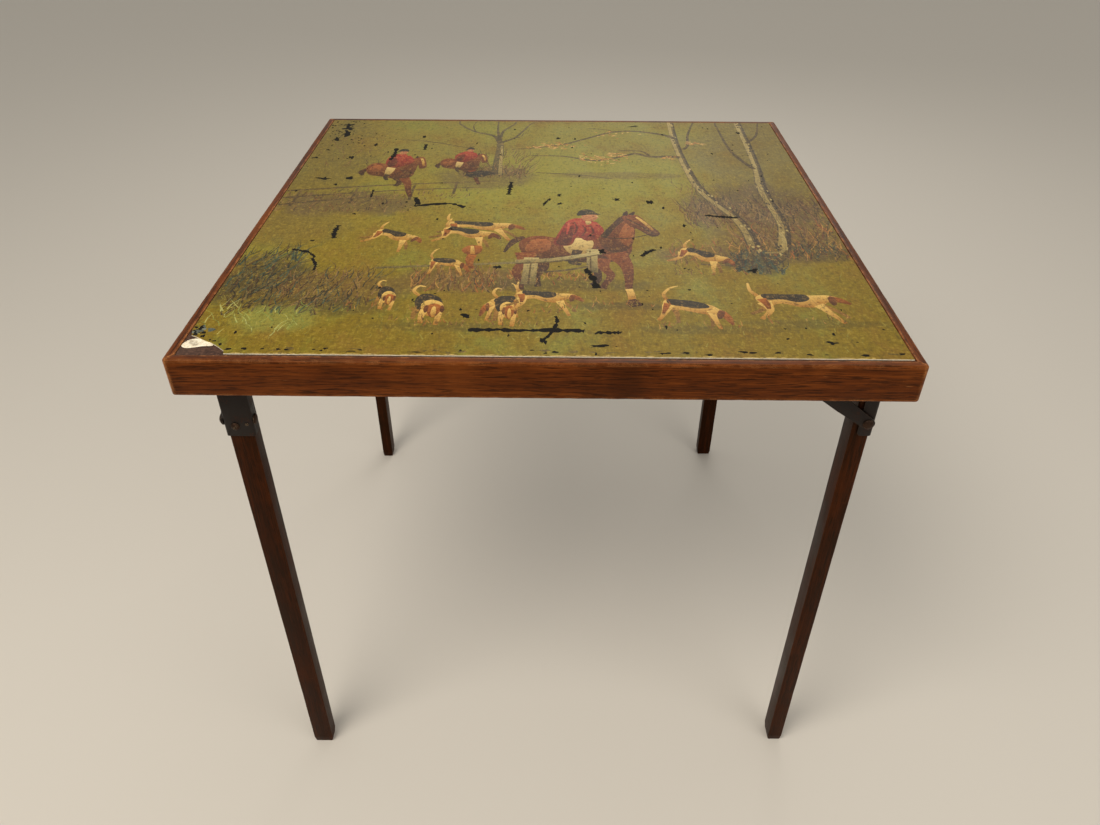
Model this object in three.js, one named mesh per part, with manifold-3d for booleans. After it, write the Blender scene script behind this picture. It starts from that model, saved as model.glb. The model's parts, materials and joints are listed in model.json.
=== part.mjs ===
// A wooden folding card table with a printed picture top and four pinwheel folding legs.
// Units are millimetres, +Z is up, and the origin is on the floor under the table's centre.
// The front rail lies along -Y. Each leg folds up along the rail on its left hand, seen from
// outside the corner, so the four corners are copies turned by a quarter turn about Z.
import * as THREE from 'three';
import { mergeVertices } from 'three/addons/utils/BufferGeometryUtils.js';
import Module from 'manifold-3d';

const wasm = await Module();
wasm.setup();

// ---------- driving dimensions ----------
const GAP = 0.3; // between pieces that touch
const SIDE = 750; // square top, outside the rails
const HALF = SIDE / 2;
const HEIGHT = 687; // floor to the printed sheet

// rails
const RAIL_THICKNESS = 19;
const RAIL_TOP = HEIGHT - 0.8; // the sheet stands a little proud of the rails
const RAIL_BOTTOM = HEIGHT - 43.2;
const LIP = 10; // width of the rail's top edge outside the panel
const REBATE_FLOOR = RAIL_TOP - 6.7;
const TOP_EDGE_ROUND = 2.6;
const BOTTOM_EDGE_ROUND = 1.6;
const CORNER_ROUND = 4.5;

// panel
const BOARD_HALF = HALF - LIP - GAP;
const BOARD_BOTTOM = REBATE_FLOOR + GAP;
const SHEET_HALF = HALF - LIP - 2;
const SHEET_THICKNESS = 1.1;
const SHEET_BOTTOM = HEIGHT - SHEET_THICKNESS;
const BOARD_TOP = SHEET_BOTTOM - GAP;

// legs, in the front right corner: WIDE is along the hinge pin, THIN is in the folding plane
const LEG_WIDE = 26.8;
const LEG_THIN = 19.7;
const LEG_OUT_X = HALF - 25; // leg's outer face, towards the side rail
const LEG_IN_X = LEG_OUT_X - LEG_THIN;
const LEG_FRONT_Y = -HALF + 35.6; // leg's face towards the front rail
const LEG_REAR_Y = LEG_FRONT_Y + LEG_WIDE;
const LEG_EDGE_ROUND = 1.2;
const FOOT_HEIGHT = 10; // the foot tapers over this height
const FOOT_TAPER = 0.11; // share of the section lost at the floor

// hinge pin of the leg and rivet of the brace
const PIVOT_X = LEG_OUT_X - 4.5;
const PIVOT_Z = RAIL_BOTTOM + 6.7;
const PIVOT_RADIUS = 3;
const PIVOT_HEAD = 4.8;
const PIVOT_HEAD_DEPTH = 2;
const LEG_TOP = PIVOT_Z - 4;
const RIVET_X = PIVOT_X - 1;
const RIVET_Z = PIVOT_Z - 57.5;
const RIVET_RADIUS = 2.4;
const RIVET_HEAD = 6;
const RIVET_HEAD_DEPTH = 2.4;

// pressed steel
const STEEL = 2;
const CAP_BOTTOM = PIVOT_Z - 75.5;
const CAP_EAR_REACH = 16; // from the web's outer face towards the middle of the table
const CAP_EAR_ROUND = 6.5;
const CAP_WEB_TOP = PIVOT_Z - 2;
const CAP_EAR_SHOULDER = PIVOT_Z - 12; // where an ear's inner edge starts to slope to its round
const CAP_CORNER_CUT = 3; // off each ear's lower inner corner
const ARM_THICKNESS = 2.5;
const BRACKET_EAR_ROUND = 6.5;
const BRACKET_EAR_ROOT = 13; // how far an ear reaches inward of the pivot at the plate
const BRACKET_TOP = REBATE_FLOOR - GAP;
const BRACKET_FRONT_END = HALF - 75; // how far the gusset runs along the front rail
const BRACKET_SIDE_END = -HALF + 107; // and along the side rail
const BRACKET_SIDE_WIDTH = 16; // of the gusset at its end on the side rail
const FLANGE_BOTTOM = RAIL_BOTTOM + 8;

// fasteners
const HEAD_STEPS = 12;
const SLOT_DEPTH = 0.85; // of a screw's slot, below the top of its head
const SLOT_WIDTH = 1;
const CAP_SCREW_RADIUS = 2;
const CAP_SCREW_HEAD = 4.75;
const CAP_SCREW_HEAD_DEPTH = 2.2;
const CAP_SCREW_DEPTH = 14; // into the leg
const CAP_SCREW_Y = LEG_FRONT_Y + 9.7;
const CAP_SCREW_Z = RIVET_Z - 5;
const CAP_PIN_RADIUS = 0.9;
const CAP_PIN_HEAD = 1.9;
const CAP_PIN_HEAD_DEPTH = 0.8;
const CAP_PIN_DEPTH = 2; // a short tack, clear of the brace rivet
const CAP_PIN_Y = LEG_REAR_Y - 4.2;
const CAP_PIN_Z = RIVET_Z - 2;
const WOOD_SCREW_RADIUS = 1.7;
const WOOD_SCREW_HEAD = 3.9;
const WOOD_SCREW_HEAD_DEPTH = 1.9;
const WOOD_SCREW_LENGTH = 13;
const WOOD_SCREW_Z = RAIL_BOTTOM + 20;
const FRONT_SCREW_X = BRACKET_FRONT_END + 12;
const SIDE_SCREW_Y = BRACKET_SIDE_END - 12;

// layers along Y in the front right corner, from the leg towards the front rail
const CAP_EAR_FRONT = LEG_FRONT_Y - GAP;
const ARM_LAYER = CAP_EAR_FRONT - STEEL - GAP; // the brace, and the bracket's front ear
const TRACK_LAYER = ARM_LAYER - ARM_THICKNESS - 2 * GAP;
const RAIL_FACE = -HALF + RAIL_THICKNESS;
const CAP_EAR_REAR = LEG_REAR_Y + GAP;
const REAR_EAR_LAYER = CAP_EAR_REAR + STEEL + GAP;

// brace: it turns with the leg, and its upper pin slides in the track plate's slot
const BRACE_LENGTH = 128; // rivet to pin
const BRACE_TILT = THREE.MathUtils.degToRad(36.6); // above level while the leg stands
const FOLD_ANGLE = Math.PI / 2;
const BRACE_DROP = 0.34; // share of the leg's fold that lowers the brace
const BRACE_END_ROUND = 6.5;
const BRACE_NECK = 7; // half width beside the rivet
const BRACE_BODY = 8.8; // half width along the arm
const SLIDE_RADIUS = 2.5;
const SLOT_CLEARANCE = 0.4;
const SLIDE_HEAD = 5.2;
const SLIDE_HEAD_DEPTH = 1.5;
const BRACE_NECK_LENGTH = 40;
const BRACE_TIP_LENGTH = 20;
const TRACK_END = 13; // plate left beyond each end of the slot
const TRACK_TAB = 15; // screw tab at each end
const TRACK_TAB_INSET = 4; // each tab is lower than the plate by this at its top and bottom
const TRACK_ROUND = 3; // corners of the plate
const TRACK_BOTTOM = RAIL_BOTTOM + 3;

const CURVE_STEPS = 4;
const ROUND_STEPS = 10;

// ---------- path of the sliding pin ----------
// Centre of the sliding pin, in X and Z, in the front right corner, with the leg folded by an
// angle from 0, standing, to FOLD_ANGLE.
function braceEnd(fold) {
  const c = Math.cos(fold);
  const n = Math.sin(fold);
  const rx = RIVET_X - PIVOT_X;
  const rz = RIVET_Z - PIVOT_Z;
  const tilt = BRACE_TILT - BRACE_DROP * fold;
  return new THREE.Vector2(
    PIVOT_X + rx * c + rz * n - BRACE_LENGTH * Math.cos(tilt),
    PIVOT_Z - rx * n + rz * c + BRACE_LENGTH * Math.sin(tilt));
}
const PIN_STANDING = braceEnd(0);
const PIN_FOLDED = braceEnd(FOLD_ANGLE);
const TRACK_X0 = PIN_FOLDED.x - TRACK_END;
const TRACK_X1 = PIN_STANDING.x + TRACK_END;
const TRACK_SCREWS_X = [TRACK_X0 - TRACK_TAB / 2, TRACK_X1 + TRACK_TAB / 2];

// ---------- materials ----------
const paint = (color, roughness, metalness = 0) =>
  new THREE.MeshStandardMaterial({ color, roughness, metalness });
const railWood = paint(0x5a2c16, 0.5);
const legWood = paint(0x371b0a, 0.48);
const boardWood = paint(0x3a2c28, 0.85);
const printedSheet = paint(0x6f6a22, 0.42);
const darkSteel = paint(0x2a1c14, 0.5, 0.85);
const wornSteel = paint(0x4a3a2e, 0.42, 0.9);

// ---------- solids ----------
function toSolid(geometry) {
  const bare = geometry.clone();
  bare.deleteAttribute('normal');
  bare.deleteAttribute('uv');
  const merged = mergeVertices(bare, 1e-4);
  return new wasm.Manifold(new wasm.Mesh({
    numProp: 3,
    vertProperties: Float32Array.from(merged.attributes.position.array),
    triVerts: Uint32Array.from(merged.index.array),
  }));
}

function toGeometry(solid) {
  const { numProp, vertProperties, triVerts } = solid.getMesh();
  const points = new Float32Array((vertProperties.length / numProp) * 3);
  for (let i = 0; i * 3 < points.length; i++) {
    points.set(vertProperties.subarray(i * numProp, i * numProp + 3), i * 3);
  }
  const geometry = new THREE.BufferGeometry();
  geometry.setAttribute('position', new THREE.BufferAttribute(points, 3));
  geometry.setIndex(Array.from(triVerts));
  geometry.computeVertexNormals();
  return geometry;
}

const outline = (points) => new THREE.Shape(points.map(([x, y]) => new THREE.Vector2(x, y)));

function extrude(shape, depth, curveSegments = CURVE_STEPS) {
  return new THREE.ExtrudeGeometry(shape, { depth, bevelEnabled: false, curveSegments });
}

// A plate lying level: the outline is in X and Y.
function levelPlate(shape, z0, z1, curveSegments) {
  return toSolid(extrude(shape, z1 - z0, curveSegments).translate(0, 0, z0));
}

// A plate facing Y: the outline is in X and Z.
function frontPlate(shape, y0, y1, curveSegments) {
  return toSolid(extrude(shape, y1 - y0, curveSegments).rotateX(Math.PI / 2).translate(0, y1, 0));
}

// A bar along X: the outline is in Y and Z.
function barAlongX(shape, x0, x1, curveSegments) {
  const turn = new THREE.Matrix4().makeBasis(
    new THREE.Vector3(0, 1, 0), new THREE.Vector3(0, 0, 1), new THREE.Vector3(1, 0, 0));
  return toSolid(extrude(shape, x1 - x0, curveSegments).applyMatrix4(turn).translate(x0, 0, 0));
}

function block(x0, x1, y0, y1, z0, z1) {
  return toSolid(new THREE.BoxGeometry(x1 - x0, y1 - y0, z1 - z0)
    .translate((x0 + x1) / 2, (y0 + y1) / 2, (z0 + z1) / 2));
}

// A turned piece about an axis along Y through (x, z): profile points are [radius, y].
function turnedAlongY(profile, x, z, steps = ROUND_STEPS) {
  const points = profile.map(([r, y]) => new THREE.Vector2(r, y));
  return toSolid(new THREE.LatheGeometry(points, steps).translate(x, 0, z));
}

// The same about an axis along X through (y, z): profile points are [radius, x].
function turnedAlongX(profile, y, z, steps = ROUND_STEPS) {
  const points = profile.map(([r, x]) => new THREE.Vector2(r, x));
  return toSolid(new THREE.LatheGeometry(points, steps).rotateZ(-Math.PI / 2).translate(0, y, z));
}

const rodProfile = (radius, from, to) => [[0, from], [radius, from], [radius, to], [0, to]];
const rod = (radius, y0, y1, x, z) => turnedAlongY(rodProfile(radius, y0, y1), x, z);
const rodAlongX = (radius, x0, x1, y, z) => turnedAlongX(rodProfile(radius, x0, x1), y, z);

function roundedRectangle(x0, x1, y0, y1, r) {
  const s = new THREE.Shape();
  s.moveTo(x0 + r, y0);
  s.lineTo(x1 - r, y0);
  s.absarc(x1 - r, y0 + r, r, -Math.PI / 2, 0);
  s.lineTo(x1, y1 - r);
  s.absarc(x1 - r, y1 - r, r, 0, Math.PI / 2);
  s.lineTo(x0 + r, y1);
  s.absarc(x0 + r, y1 - r, r, Math.PI / 2, Math.PI);
  s.lineTo(x0, y0 + r);
  s.absarc(x0 + r, y0 + r, r, Math.PI, 1.5 * Math.PI);
  return s;
}

// ---------- frame ----------
const table = new THREE.Group();

function addNode(parent, name, solid, material) {
  const mesh = new THREE.Mesh(toGeometry(solid), material.clone());
  mesh.name = name;
  parent.add(mesh);
}

// Front rail: a rebated section run along X, mitred at both ends, its plan corners rounded.
function frontRail() {
  const y0 = -HALF;
  const section = new THREE.Shape();
  section.moveTo(y0 + RAIL_THICKNESS, RAIL_BOTTOM);
  section.lineTo(y0 + RAIL_THICKNESS, REBATE_FLOOR);
  section.lineTo(y0 + LIP, REBATE_FLOOR);
  section.lineTo(y0 + LIP, RAIL_TOP);
  section.lineTo(y0 + TOP_EDGE_ROUND, RAIL_TOP);
  section.absarc(y0 + TOP_EDGE_ROUND, RAIL_TOP - TOP_EDGE_ROUND, TOP_EDGE_ROUND,
    Math.PI / 2, Math.PI);
  section.lineTo(y0, RAIL_BOTTOM + BOTTOM_EDGE_ROUND);
  section.absarc(y0 + BOTTOM_EDGE_ROUND, RAIL_BOTTOM + BOTTOM_EDGE_ROUND, BOTTOM_EDGE_ROUND,
    Math.PI, 1.5 * Math.PI);
  const bar = barAlongX(section, -HALF, HALF, 4);

  const mitre = GAP / Math.SQRT2; // how far each end stands back from the diagonal
  const outer = HALF + 1;
  const inner = HALF - RAIL_THICKNESS - 1;
  const wedge = levelPlate(outline([
    [-outer + mitre, -outer], [outer - mitre, -outer],
    [inner - mitre, -inner], [-inner + mitre, -inner],
  ]), RAIL_BOTTOM - 1, RAIL_TOP + 1);
  const plan = levelPlate(
    roundedRectangle(-HALF, HALF, -HALF, HALF, CORNER_ROUND), RAIL_BOTTOM - 1, RAIL_TOP + 1);
  const rail = bar.intersect(wedge).intersect(plan);
  const pilots = [FRONT_SCREW_X, SIDE_SCREW_Y, ...TRACK_SCREWS_X];
  return pilots.reduce((solid, x) => solid.subtract(rod(WOOD_SCREW_RADIUS + GAP,
    RAIL_FACE - WOOD_SCREW_LENGTH + GAP, RAIL_FACE + 1, x, WOOD_SCREW_Z)), rail);
}

const railSolid = frontRail();
['front', 'right', 'back', 'left'].forEach((side, turn) => {
  const holder = new THREE.Group();
  holder.rotation.z = turn * Math.PI / 2;
  addNode(holder, `${side}_rail`, railSolid, railWood);
  table.add(holder);
});

// ---------- panel ----------
addNode(table, 'top_board',
  block(-BOARD_HALF, BOARD_HALF, -BOARD_HALF, BOARD_HALF, BOARD_BOTTOM, BOARD_TOP), boardWood);

// The printed sheet has lost its front left corner, so the bare board shows there.
const s = SHEET_HALF;
addNode(table, 'print_sheet', levelPlate(outline([
  [-s + 45, -s], [s, -s], [s, s], [-s, s], [-s, -s + 46],
  [-s + 12, -s + 31], [-s + 22, -s + 22], [-s + 27, -s + 20], [-s + 35, -s + 13],
]), SHEET_BOTTOM, HEIGHT), printedSheet);

// ---------- one corner: leg, hinge and brace, drawn for the front right corner ----------
function legSolid() {
  const plan = roundedRectangle(LEG_IN_X, LEG_OUT_X, LEG_FRONT_Y, LEG_REAR_Y, LEG_EDGE_ROUND);
  const shaft = levelPlate(plan, FOOT_HEIGHT, LEG_TOP, 2);
  const taper = new THREE.CylinderGeometry(1, 1 - FOOT_TAPER, FOOT_HEIGHT, 4, 1)
    .rotateY(Math.PI / 4)
    .rotateX(Math.PI / 2)
    .scale(LEG_THIN / Math.SQRT2, LEG_WIDE / Math.SQRT2, 1)
    .translate((LEG_IN_X + LEG_OUT_X) / 2, (LEG_FRONT_Y + LEG_REAR_Y) / 2, FOOT_HEIGHT / 2);
  const foot = toSolid(taper).intersect(levelPlate(plan, 0, FOOT_HEIGHT, 2));
  return shaft.add(foot)
    .subtract(rod(RIVET_RADIUS + GAP, LEG_FRONT_Y - 1, LEG_REAR_Y + 1, RIVET_X, RIVET_Z))
    .subtract(rodAlongX(CAP_SCREW_RADIUS + GAP, LEG_OUT_X - CAP_SCREW_DEPTH - GAP,
      LEG_OUT_X + 1, CAP_SCREW_Y, CAP_SCREW_Z))
    .subtract(rodAlongX(CAP_PIN_RADIUS + GAP, LEG_OUT_X - CAP_PIN_DEPTH - GAP,
      LEG_OUT_X + 1, CAP_PIN_Y, CAP_PIN_Z));
}

// Channel of pressed steel over the leg's upper end: a web on the outer face and two ears.
function legCapSolid() {
  const webIn = LEG_OUT_X + GAP;
  const webOut = webIn + STEEL;
  const earEdge = webOut - CAP_EAR_REACH;
  const ear = new THREE.Shape();
  ear.moveTo(earEdge, CAP_BOTTOM + CAP_CORNER_CUT);
  ear.lineTo(earEdge + CAP_CORNER_CUT, CAP_BOTTOM);
  ear.lineTo(webOut, CAP_BOTTOM);
  ear.lineTo(webOut, CAP_WEB_TOP);
  ear.absarc(PIVOT_X, PIVOT_Z, CAP_EAR_ROUND, 0, Math.PI);
  ear.lineTo(earEdge, CAP_EAR_SHOULDER);
  const front = frontPlate(ear, CAP_EAR_FRONT - STEEL, CAP_EAR_FRONT);
  const rear = frontPlate(ear, CAP_EAR_REAR, CAP_EAR_REAR + STEEL);
  const web = block(webIn, webOut, CAP_EAR_FRONT - STEEL, CAP_EAR_REAR + STEEL,
    CAP_BOTTOM, CAP_WEB_TOP);
  const past = STEEL + 1;
  return front.add(rear).add(web)
    .subtract(rod(PIVOT_RADIUS + GAP, CAP_EAR_FRONT - past, CAP_EAR_REAR + past,
      PIVOT_X, PIVOT_Z))
    .subtract(rod(RIVET_RADIUS + GAP, CAP_EAR_FRONT - past, CAP_EAR_REAR + past,
      RIVET_X, RIVET_Z))
    .subtract(rodAlongX(CAP_SCREW_RADIUS + GAP, webIn - 1, webOut + 1, CAP_SCREW_Y, CAP_SCREW_Z))
    .subtract(rodAlongX(CAP_PIN_RADIUS + GAP, webIn - 1, webOut + 1, CAP_PIN_Y, CAP_PIN_Z));
}

// Pressed gusset in the corner: a level plate under the board, a flange on each rail, and two
// ears that hold the leg's pivot.
function cornerBracketSolid() {
  const face = RAIL_FACE + GAP;
  const edge = -face;
  const plate = levelPlate(outline([
    [BRACKET_FRONT_END, face], [edge, face], [edge, BRACKET_SIDE_END],
    [edge - BRACKET_SIDE_WIDTH, BRACKET_SIDE_END], [BRACKET_FRONT_END, REAR_EAR_LAYER + 12],
  ]), BRACKET_TOP - STEEL, BRACKET_TOP);
  const frontFlange = block(BRACKET_FRONT_END, edge, face, face + STEEL,
    FLANGE_BOTTOM, BRACKET_TOP);
  const sideFlange = block(edge - STEEL, edge, face, BRACKET_SIDE_END,
    FLANGE_BOTTOM, BRACKET_TOP);
  const ear = new THREE.Shape();
  ear.moveTo(PIVOT_X - BRACKET_EAR_ROOT, BRACKET_TOP - 1);
  ear.lineTo(PIVOT_X - BRACKET_EAR_ROUND, PIVOT_Z);
  ear.absarc(PIVOT_X, PIVOT_Z, BRACKET_EAR_ROUND, Math.PI, 2 * Math.PI);
  ear.lineTo(edge - STEEL / 2, PIVOT_Z + 6);
  ear.lineTo(edge - STEEL / 2, BRACKET_TOP - 1);
  const frontEar = frontPlate(ear, ARM_LAYER - ARM_THICKNESS, ARM_LAYER);
  const rearEar = frontPlate(ear, REAR_EAR_LAYER, REAR_EAR_LAYER + ARM_THICKNESS);
  return plate.add(frontFlange).add(sideFlange).add(frontEar).add(rearEar)
    .subtract(rod(PIVOT_RADIUS + GAP, ARM_LAYER - ARM_THICKNESS - 1,
      REAR_EAR_LAYER + ARM_THICKNESS + 1, PIVOT_X, PIVOT_Z))
    .subtract(rod(WOOD_SCREW_RADIUS + GAP, face - 1, face + STEEL + 1,
      FRONT_SCREW_X, WOOD_SCREW_Z))
    .subtract(rodAlongX(WOOD_SCREW_RADIUS + GAP, edge - STEEL - 1, edge + 1,
      SIDE_SCREW_Y, WOOD_SCREW_Z));
}

// A rivet along Y: a shank between two low round heads.
function rivet(shank, head, headDepth, y0, y1, x, z) {
  return turnedAlongY([
    [0, y0 - headDepth], [0.62 * head, y0 - headDepth], [0.9 * head, y0 - 0.6 * headDepth],
    [head, y0], [shank, y0], [shank, y1], [head, y1],
    [0.9 * head, y1 + 0.6 * headDepth], [0.62 * head, y1 + headDepth], [0, y1 + headDepth],
  ], x, z, HEAD_STEPS);
}

// Brace: a flat arm with round ends, narrower at the rivet.
function braceSolid() {
  const arm = new THREE.Shape();
  arm.moveTo(0, BRACE_NECK);
  arm.absarc(0, 0, BRACE_NECK, Math.PI / 2, 1.5 * Math.PI);
  arm.lineTo(BRACE_NECK_LENGTH, -BRACE_BODY);
  arm.lineTo(BRACE_LENGTH - BRACE_TIP_LENGTH, -BRACE_BODY);
  arm.lineTo(BRACE_LENGTH, -BRACE_END_ROUND);
  arm.absarc(BRACE_LENGTH, 0, BRACE_END_ROUND, -Math.PI / 2, Math.PI / 2);
  arm.lineTo(BRACE_LENGTH - BRACE_TIP_LENGTH, BRACE_BODY);
  arm.lineTo(BRACE_NECK_LENGTH, BRACE_BODY);
  const flat = extrude(arm, ARM_THICKNESS)
    .rotateZ(Math.PI - BRACE_TILT)
    .translate(RIVET_X, RIVET_Z, 0)
    .rotateX(Math.PI / 2)
    .translate(0, ARM_LAYER, 0);
  const y0 = ARM_LAYER - ARM_THICKNESS - 1;
  const y1 = ARM_LAYER + 1;
  return toSolid(flat)
    .subtract(rod(RIVET_RADIUS + GAP, y0, y1, RIVET_X, RIVET_Z))
    .subtract(rod(SLIDE_RADIUS + GAP, y0, y1, PIN_STANDING.x, PIN_STANDING.y));
}

// Outline of the slot that the sliding pin follows as the leg folds.
function slotShape() {
  const half = SLIDE_RADIUS + SLOT_CLEARANCE;
  const count = 12;
  const path = Array.from({ length: count + 1 }, (_, i) => braceEnd((i / count) * FOLD_ANGLE));
  const way = path.map((p, i) => path[Math.min(i + 1, count)].clone()
    .sub(path[Math.max(i - 1, 0)]).normalize());
  const side = (sign) => path.map((p, i) => new THREE.Vector2(
    p.x - sign * half * way[i].y, p.y + sign * half * way[i].x));
  const round = (centre, direction) => Array.from({ length: 7 }, (_, i) => {
    const angle = Math.atan2(direction.y, direction.x) + Math.PI / 2 - ((i + 1) * Math.PI) / 8;
    return new THREE.Vector2(
      centre.x + half * Math.cos(angle), centre.y + half * Math.sin(angle));
  });
  return new THREE.Shape([
    ...side(1), ...round(path[count], way[count]),
    ...side(-1).reverse(), ...round(path[0], way[0].clone().negate()),
  ]);
}

// Track plate: stands off the rail on two bent ends, and carries the slot.
function trackPlateSolid() {
  const face = RAIL_FACE + GAP;
  const z0 = TRACK_BOTTOM;
  const z1 = BRACKET_TOP - STEEL;
  const low = z0 + TRACK_TAB_INSET;
  const high = z1 - TRACK_TAB_INSET;
  const front = frontPlate(roundedRectangle(TRACK_X0, TRACK_X1, z0, z1, TRACK_ROUND),
    TRACK_LAYER - STEEL, TRACK_LAYER, 3);
  const tab = (stemX, tabX, screwX) => block(stemX, stemX + STEEL, face, TRACK_LAYER, low, high)
    .add(block(tabX, tabX + TRACK_TAB + STEEL / 2, face, face + STEEL, low, high))
    .subtract(rod(WOOD_SCREW_RADIUS + GAP, face - 1, face + STEEL + 1, screwX, WOOD_SCREW_Z));
  return front
    .add(tab(TRACK_X0, TRACK_X0 - TRACK_TAB, TRACK_SCREWS_X[0]))
    .add(tab(TRACK_X1 - STEEL, TRACK_X1 - STEEL / 2, TRACK_SCREWS_X[1]))
    .subtract(frontPlate(slotShape(), TRACK_LAYER - STEEL - 1, TRACK_LAYER + 1));
}

// A round headed screw; its length runs from the point to the underside of the head.
function screwProfile(seat, head, headDepth, shank, length) {
  return [
    [0, seat - length], [shank, seat - length + 2 * shank], [shank, seat], [head, seat],
    [0.92 * head, seat + 0.55 * headDepth], [0.6 * head, seat + headDepth],
    [0, seat + headDepth],
  ];
}

// A screw through a flange on the front rail, with a slot across its head.
function woodScrewSolid(x) {
  const seat = RAIL_FACE + 2 * GAP + STEEL;
  const top = seat + WOOD_SCREW_HEAD_DEPTH;
  const profile = screwProfile(seat, WOOD_SCREW_HEAD, WOOD_SCREW_HEAD_DEPTH,
    WOOD_SCREW_RADIUS, WOOD_SCREW_LENGTH);
  return turnedAlongY(profile, x, WOOD_SCREW_Z, HEAD_STEPS)
    .subtract(block(x - WOOD_SCREW_HEAD - 1, x + WOOD_SCREW_HEAD + 1, top - SLOT_DEPTH, top + 1,
      WOOD_SCREW_Z - SLOT_WIDTH / 2, WOOD_SCREW_Z + SLOT_WIDTH / 2));
}

function capScrewSolid() {
  const seat = LEG_OUT_X + 2 * GAP + STEEL;
  const top = seat + CAP_SCREW_HEAD_DEPTH;
  const profile = screwProfile(seat, CAP_SCREW_HEAD, CAP_SCREW_HEAD_DEPTH, CAP_SCREW_RADIUS,
    CAP_SCREW_DEPTH + STEEL + GAP);
  return turnedAlongX(profile, CAP_SCREW_Y, CAP_SCREW_Z, HEAD_STEPS)
    .subtract(block(top - SLOT_DEPTH, top + 1,
      CAP_SCREW_Y - CAP_SCREW_HEAD - 1, CAP_SCREW_Y + CAP_SCREW_HEAD + 1,
      CAP_SCREW_Z - SLOT_WIDTH / 2, CAP_SCREW_Z + SLOT_WIDTH / 2));
}

function capPinSolid() {
  const seat = LEG_OUT_X + 2 * GAP + STEEL;
  return turnedAlongX(screwProfile(seat, CAP_PIN_HEAD, CAP_PIN_HEAD_DEPTH, CAP_PIN_RADIUS,
    CAP_PIN_DEPTH + STEEL + GAP), CAP_PIN_Y, CAP_PIN_Z, 8);
}

// Every piece of a corner, and whether it is turned a further quarter, onto the side rail.
const cornerPieces = [
  ['leg', legSolid(), legWood, 0],
  ['leg_cap', legCapSolid(), darkSteel, 0],
  ['corner_bracket', cornerBracketSolid(), darkSteel, 0],
  ['pivot_rivet', rivet(PIVOT_RADIUS, PIVOT_HEAD, PIVOT_HEAD_DEPTH,
    ARM_LAYER - ARM_THICKNESS - GAP, REAR_EAR_LAYER + ARM_THICKNESS + GAP,
    PIVOT_X, PIVOT_Z), wornSteel, 0],
  ['brace', braceSolid(), darkSteel, 0],
  ['brace_rivet', rivet(RIVET_RADIUS, RIVET_HEAD, RIVET_HEAD_DEPTH,
    ARM_LAYER - ARM_THICKNESS - GAP, CAP_EAR_REAR + STEEL + GAP,
    RIVET_X, RIVET_Z), wornSteel, 0],
  ['track_plate', trackPlateSolid(), darkSteel, 0],
  ['slide_pin', rivet(SLIDE_RADIUS, SLIDE_HEAD, SLIDE_HEAD_DEPTH,
    TRACK_LAYER - STEEL - GAP, ARM_LAYER + GAP, PIN_STANDING.x, PIN_STANDING.y), wornSteel, 0],
  ['cap_screw', capScrewSolid(), wornSteel, 0],
  ['cap_tack', capPinSolid(), wornSteel, 0],
  ['bracket_screw', woodScrewSolid(FRONT_SCREW_X), wornSteel, 0],
  ['track_screw', woodScrewSolid(TRACK_SCREWS_X[0]), wornSteel, 0],
  ['side_screw', woodScrewSolid(SIDE_SCREW_Y), wornSteel, 1],
];

['fr', 'br', 'bl', 'fl'].forEach((corner, turn) => {
  cornerPieces.forEach(([name, solid, material, extraTurn]) => {
    const holder = new THREE.Group();
    holder.rotation.z = ((turn + extraTurn) * Math.PI) / 2;
    addNode(holder, `${name}_${corner}`, solid, material);
    table.add(holder);
  });
});

export default table;
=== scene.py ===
"""The looks of a wooden folding card table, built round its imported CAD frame.

Units are metres in the CAD's own frame: the floor is z = 0 and the front rail is at -Y.
A piece that repeats is drawn once, at the front or in the front right corner, and copied by
quarter turns about Z. On the rails the attribute "grain" keeps where each vertex was drawn, so
that the wood's grain runs along every rail.
"""

import json
import math
import random

import bmesh
import bpy
from mathutils import Matrix, Vector, noise
from mathutils.geometry import delaunay_2d_cdt


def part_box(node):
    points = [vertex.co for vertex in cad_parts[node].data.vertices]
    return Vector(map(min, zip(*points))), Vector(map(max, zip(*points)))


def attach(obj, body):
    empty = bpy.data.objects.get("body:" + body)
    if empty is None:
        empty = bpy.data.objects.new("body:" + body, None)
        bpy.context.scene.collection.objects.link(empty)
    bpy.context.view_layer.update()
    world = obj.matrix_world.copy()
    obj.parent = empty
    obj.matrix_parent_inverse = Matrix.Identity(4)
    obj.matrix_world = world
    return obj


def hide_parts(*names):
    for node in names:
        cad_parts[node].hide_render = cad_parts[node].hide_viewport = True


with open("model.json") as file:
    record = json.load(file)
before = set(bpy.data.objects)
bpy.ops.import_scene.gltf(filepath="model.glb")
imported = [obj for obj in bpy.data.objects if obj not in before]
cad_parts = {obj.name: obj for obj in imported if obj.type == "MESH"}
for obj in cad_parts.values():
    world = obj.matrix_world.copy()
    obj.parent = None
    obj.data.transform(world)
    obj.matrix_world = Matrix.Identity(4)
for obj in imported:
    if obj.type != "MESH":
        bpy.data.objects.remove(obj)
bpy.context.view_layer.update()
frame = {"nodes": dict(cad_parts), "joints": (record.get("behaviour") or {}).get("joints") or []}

MM = 0.001
CORNERS = ("fr", "br", "bl", "fl")
SIDES = ("front", "right", "back", "left")

# ---------- driving dimensions, read from the frame ----------
rail_low, rail_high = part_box("front_rail")
board_low, board_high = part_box("top_board")
sheet_low, sheet_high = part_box("print_sheet")
leg_low, leg_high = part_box("leg_fr")
cap_low, cap_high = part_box("leg_cap_fr")
brace_low, brace_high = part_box("brace_fr")
HALF = -rail_low.y
joints = {joint["name"]: Vector(joint["pos_m"]) for joint in frame["joints"]}
pivot = joints["fold_leg_fr"]
rivet = joints["swing_brace_fr"]


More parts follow.
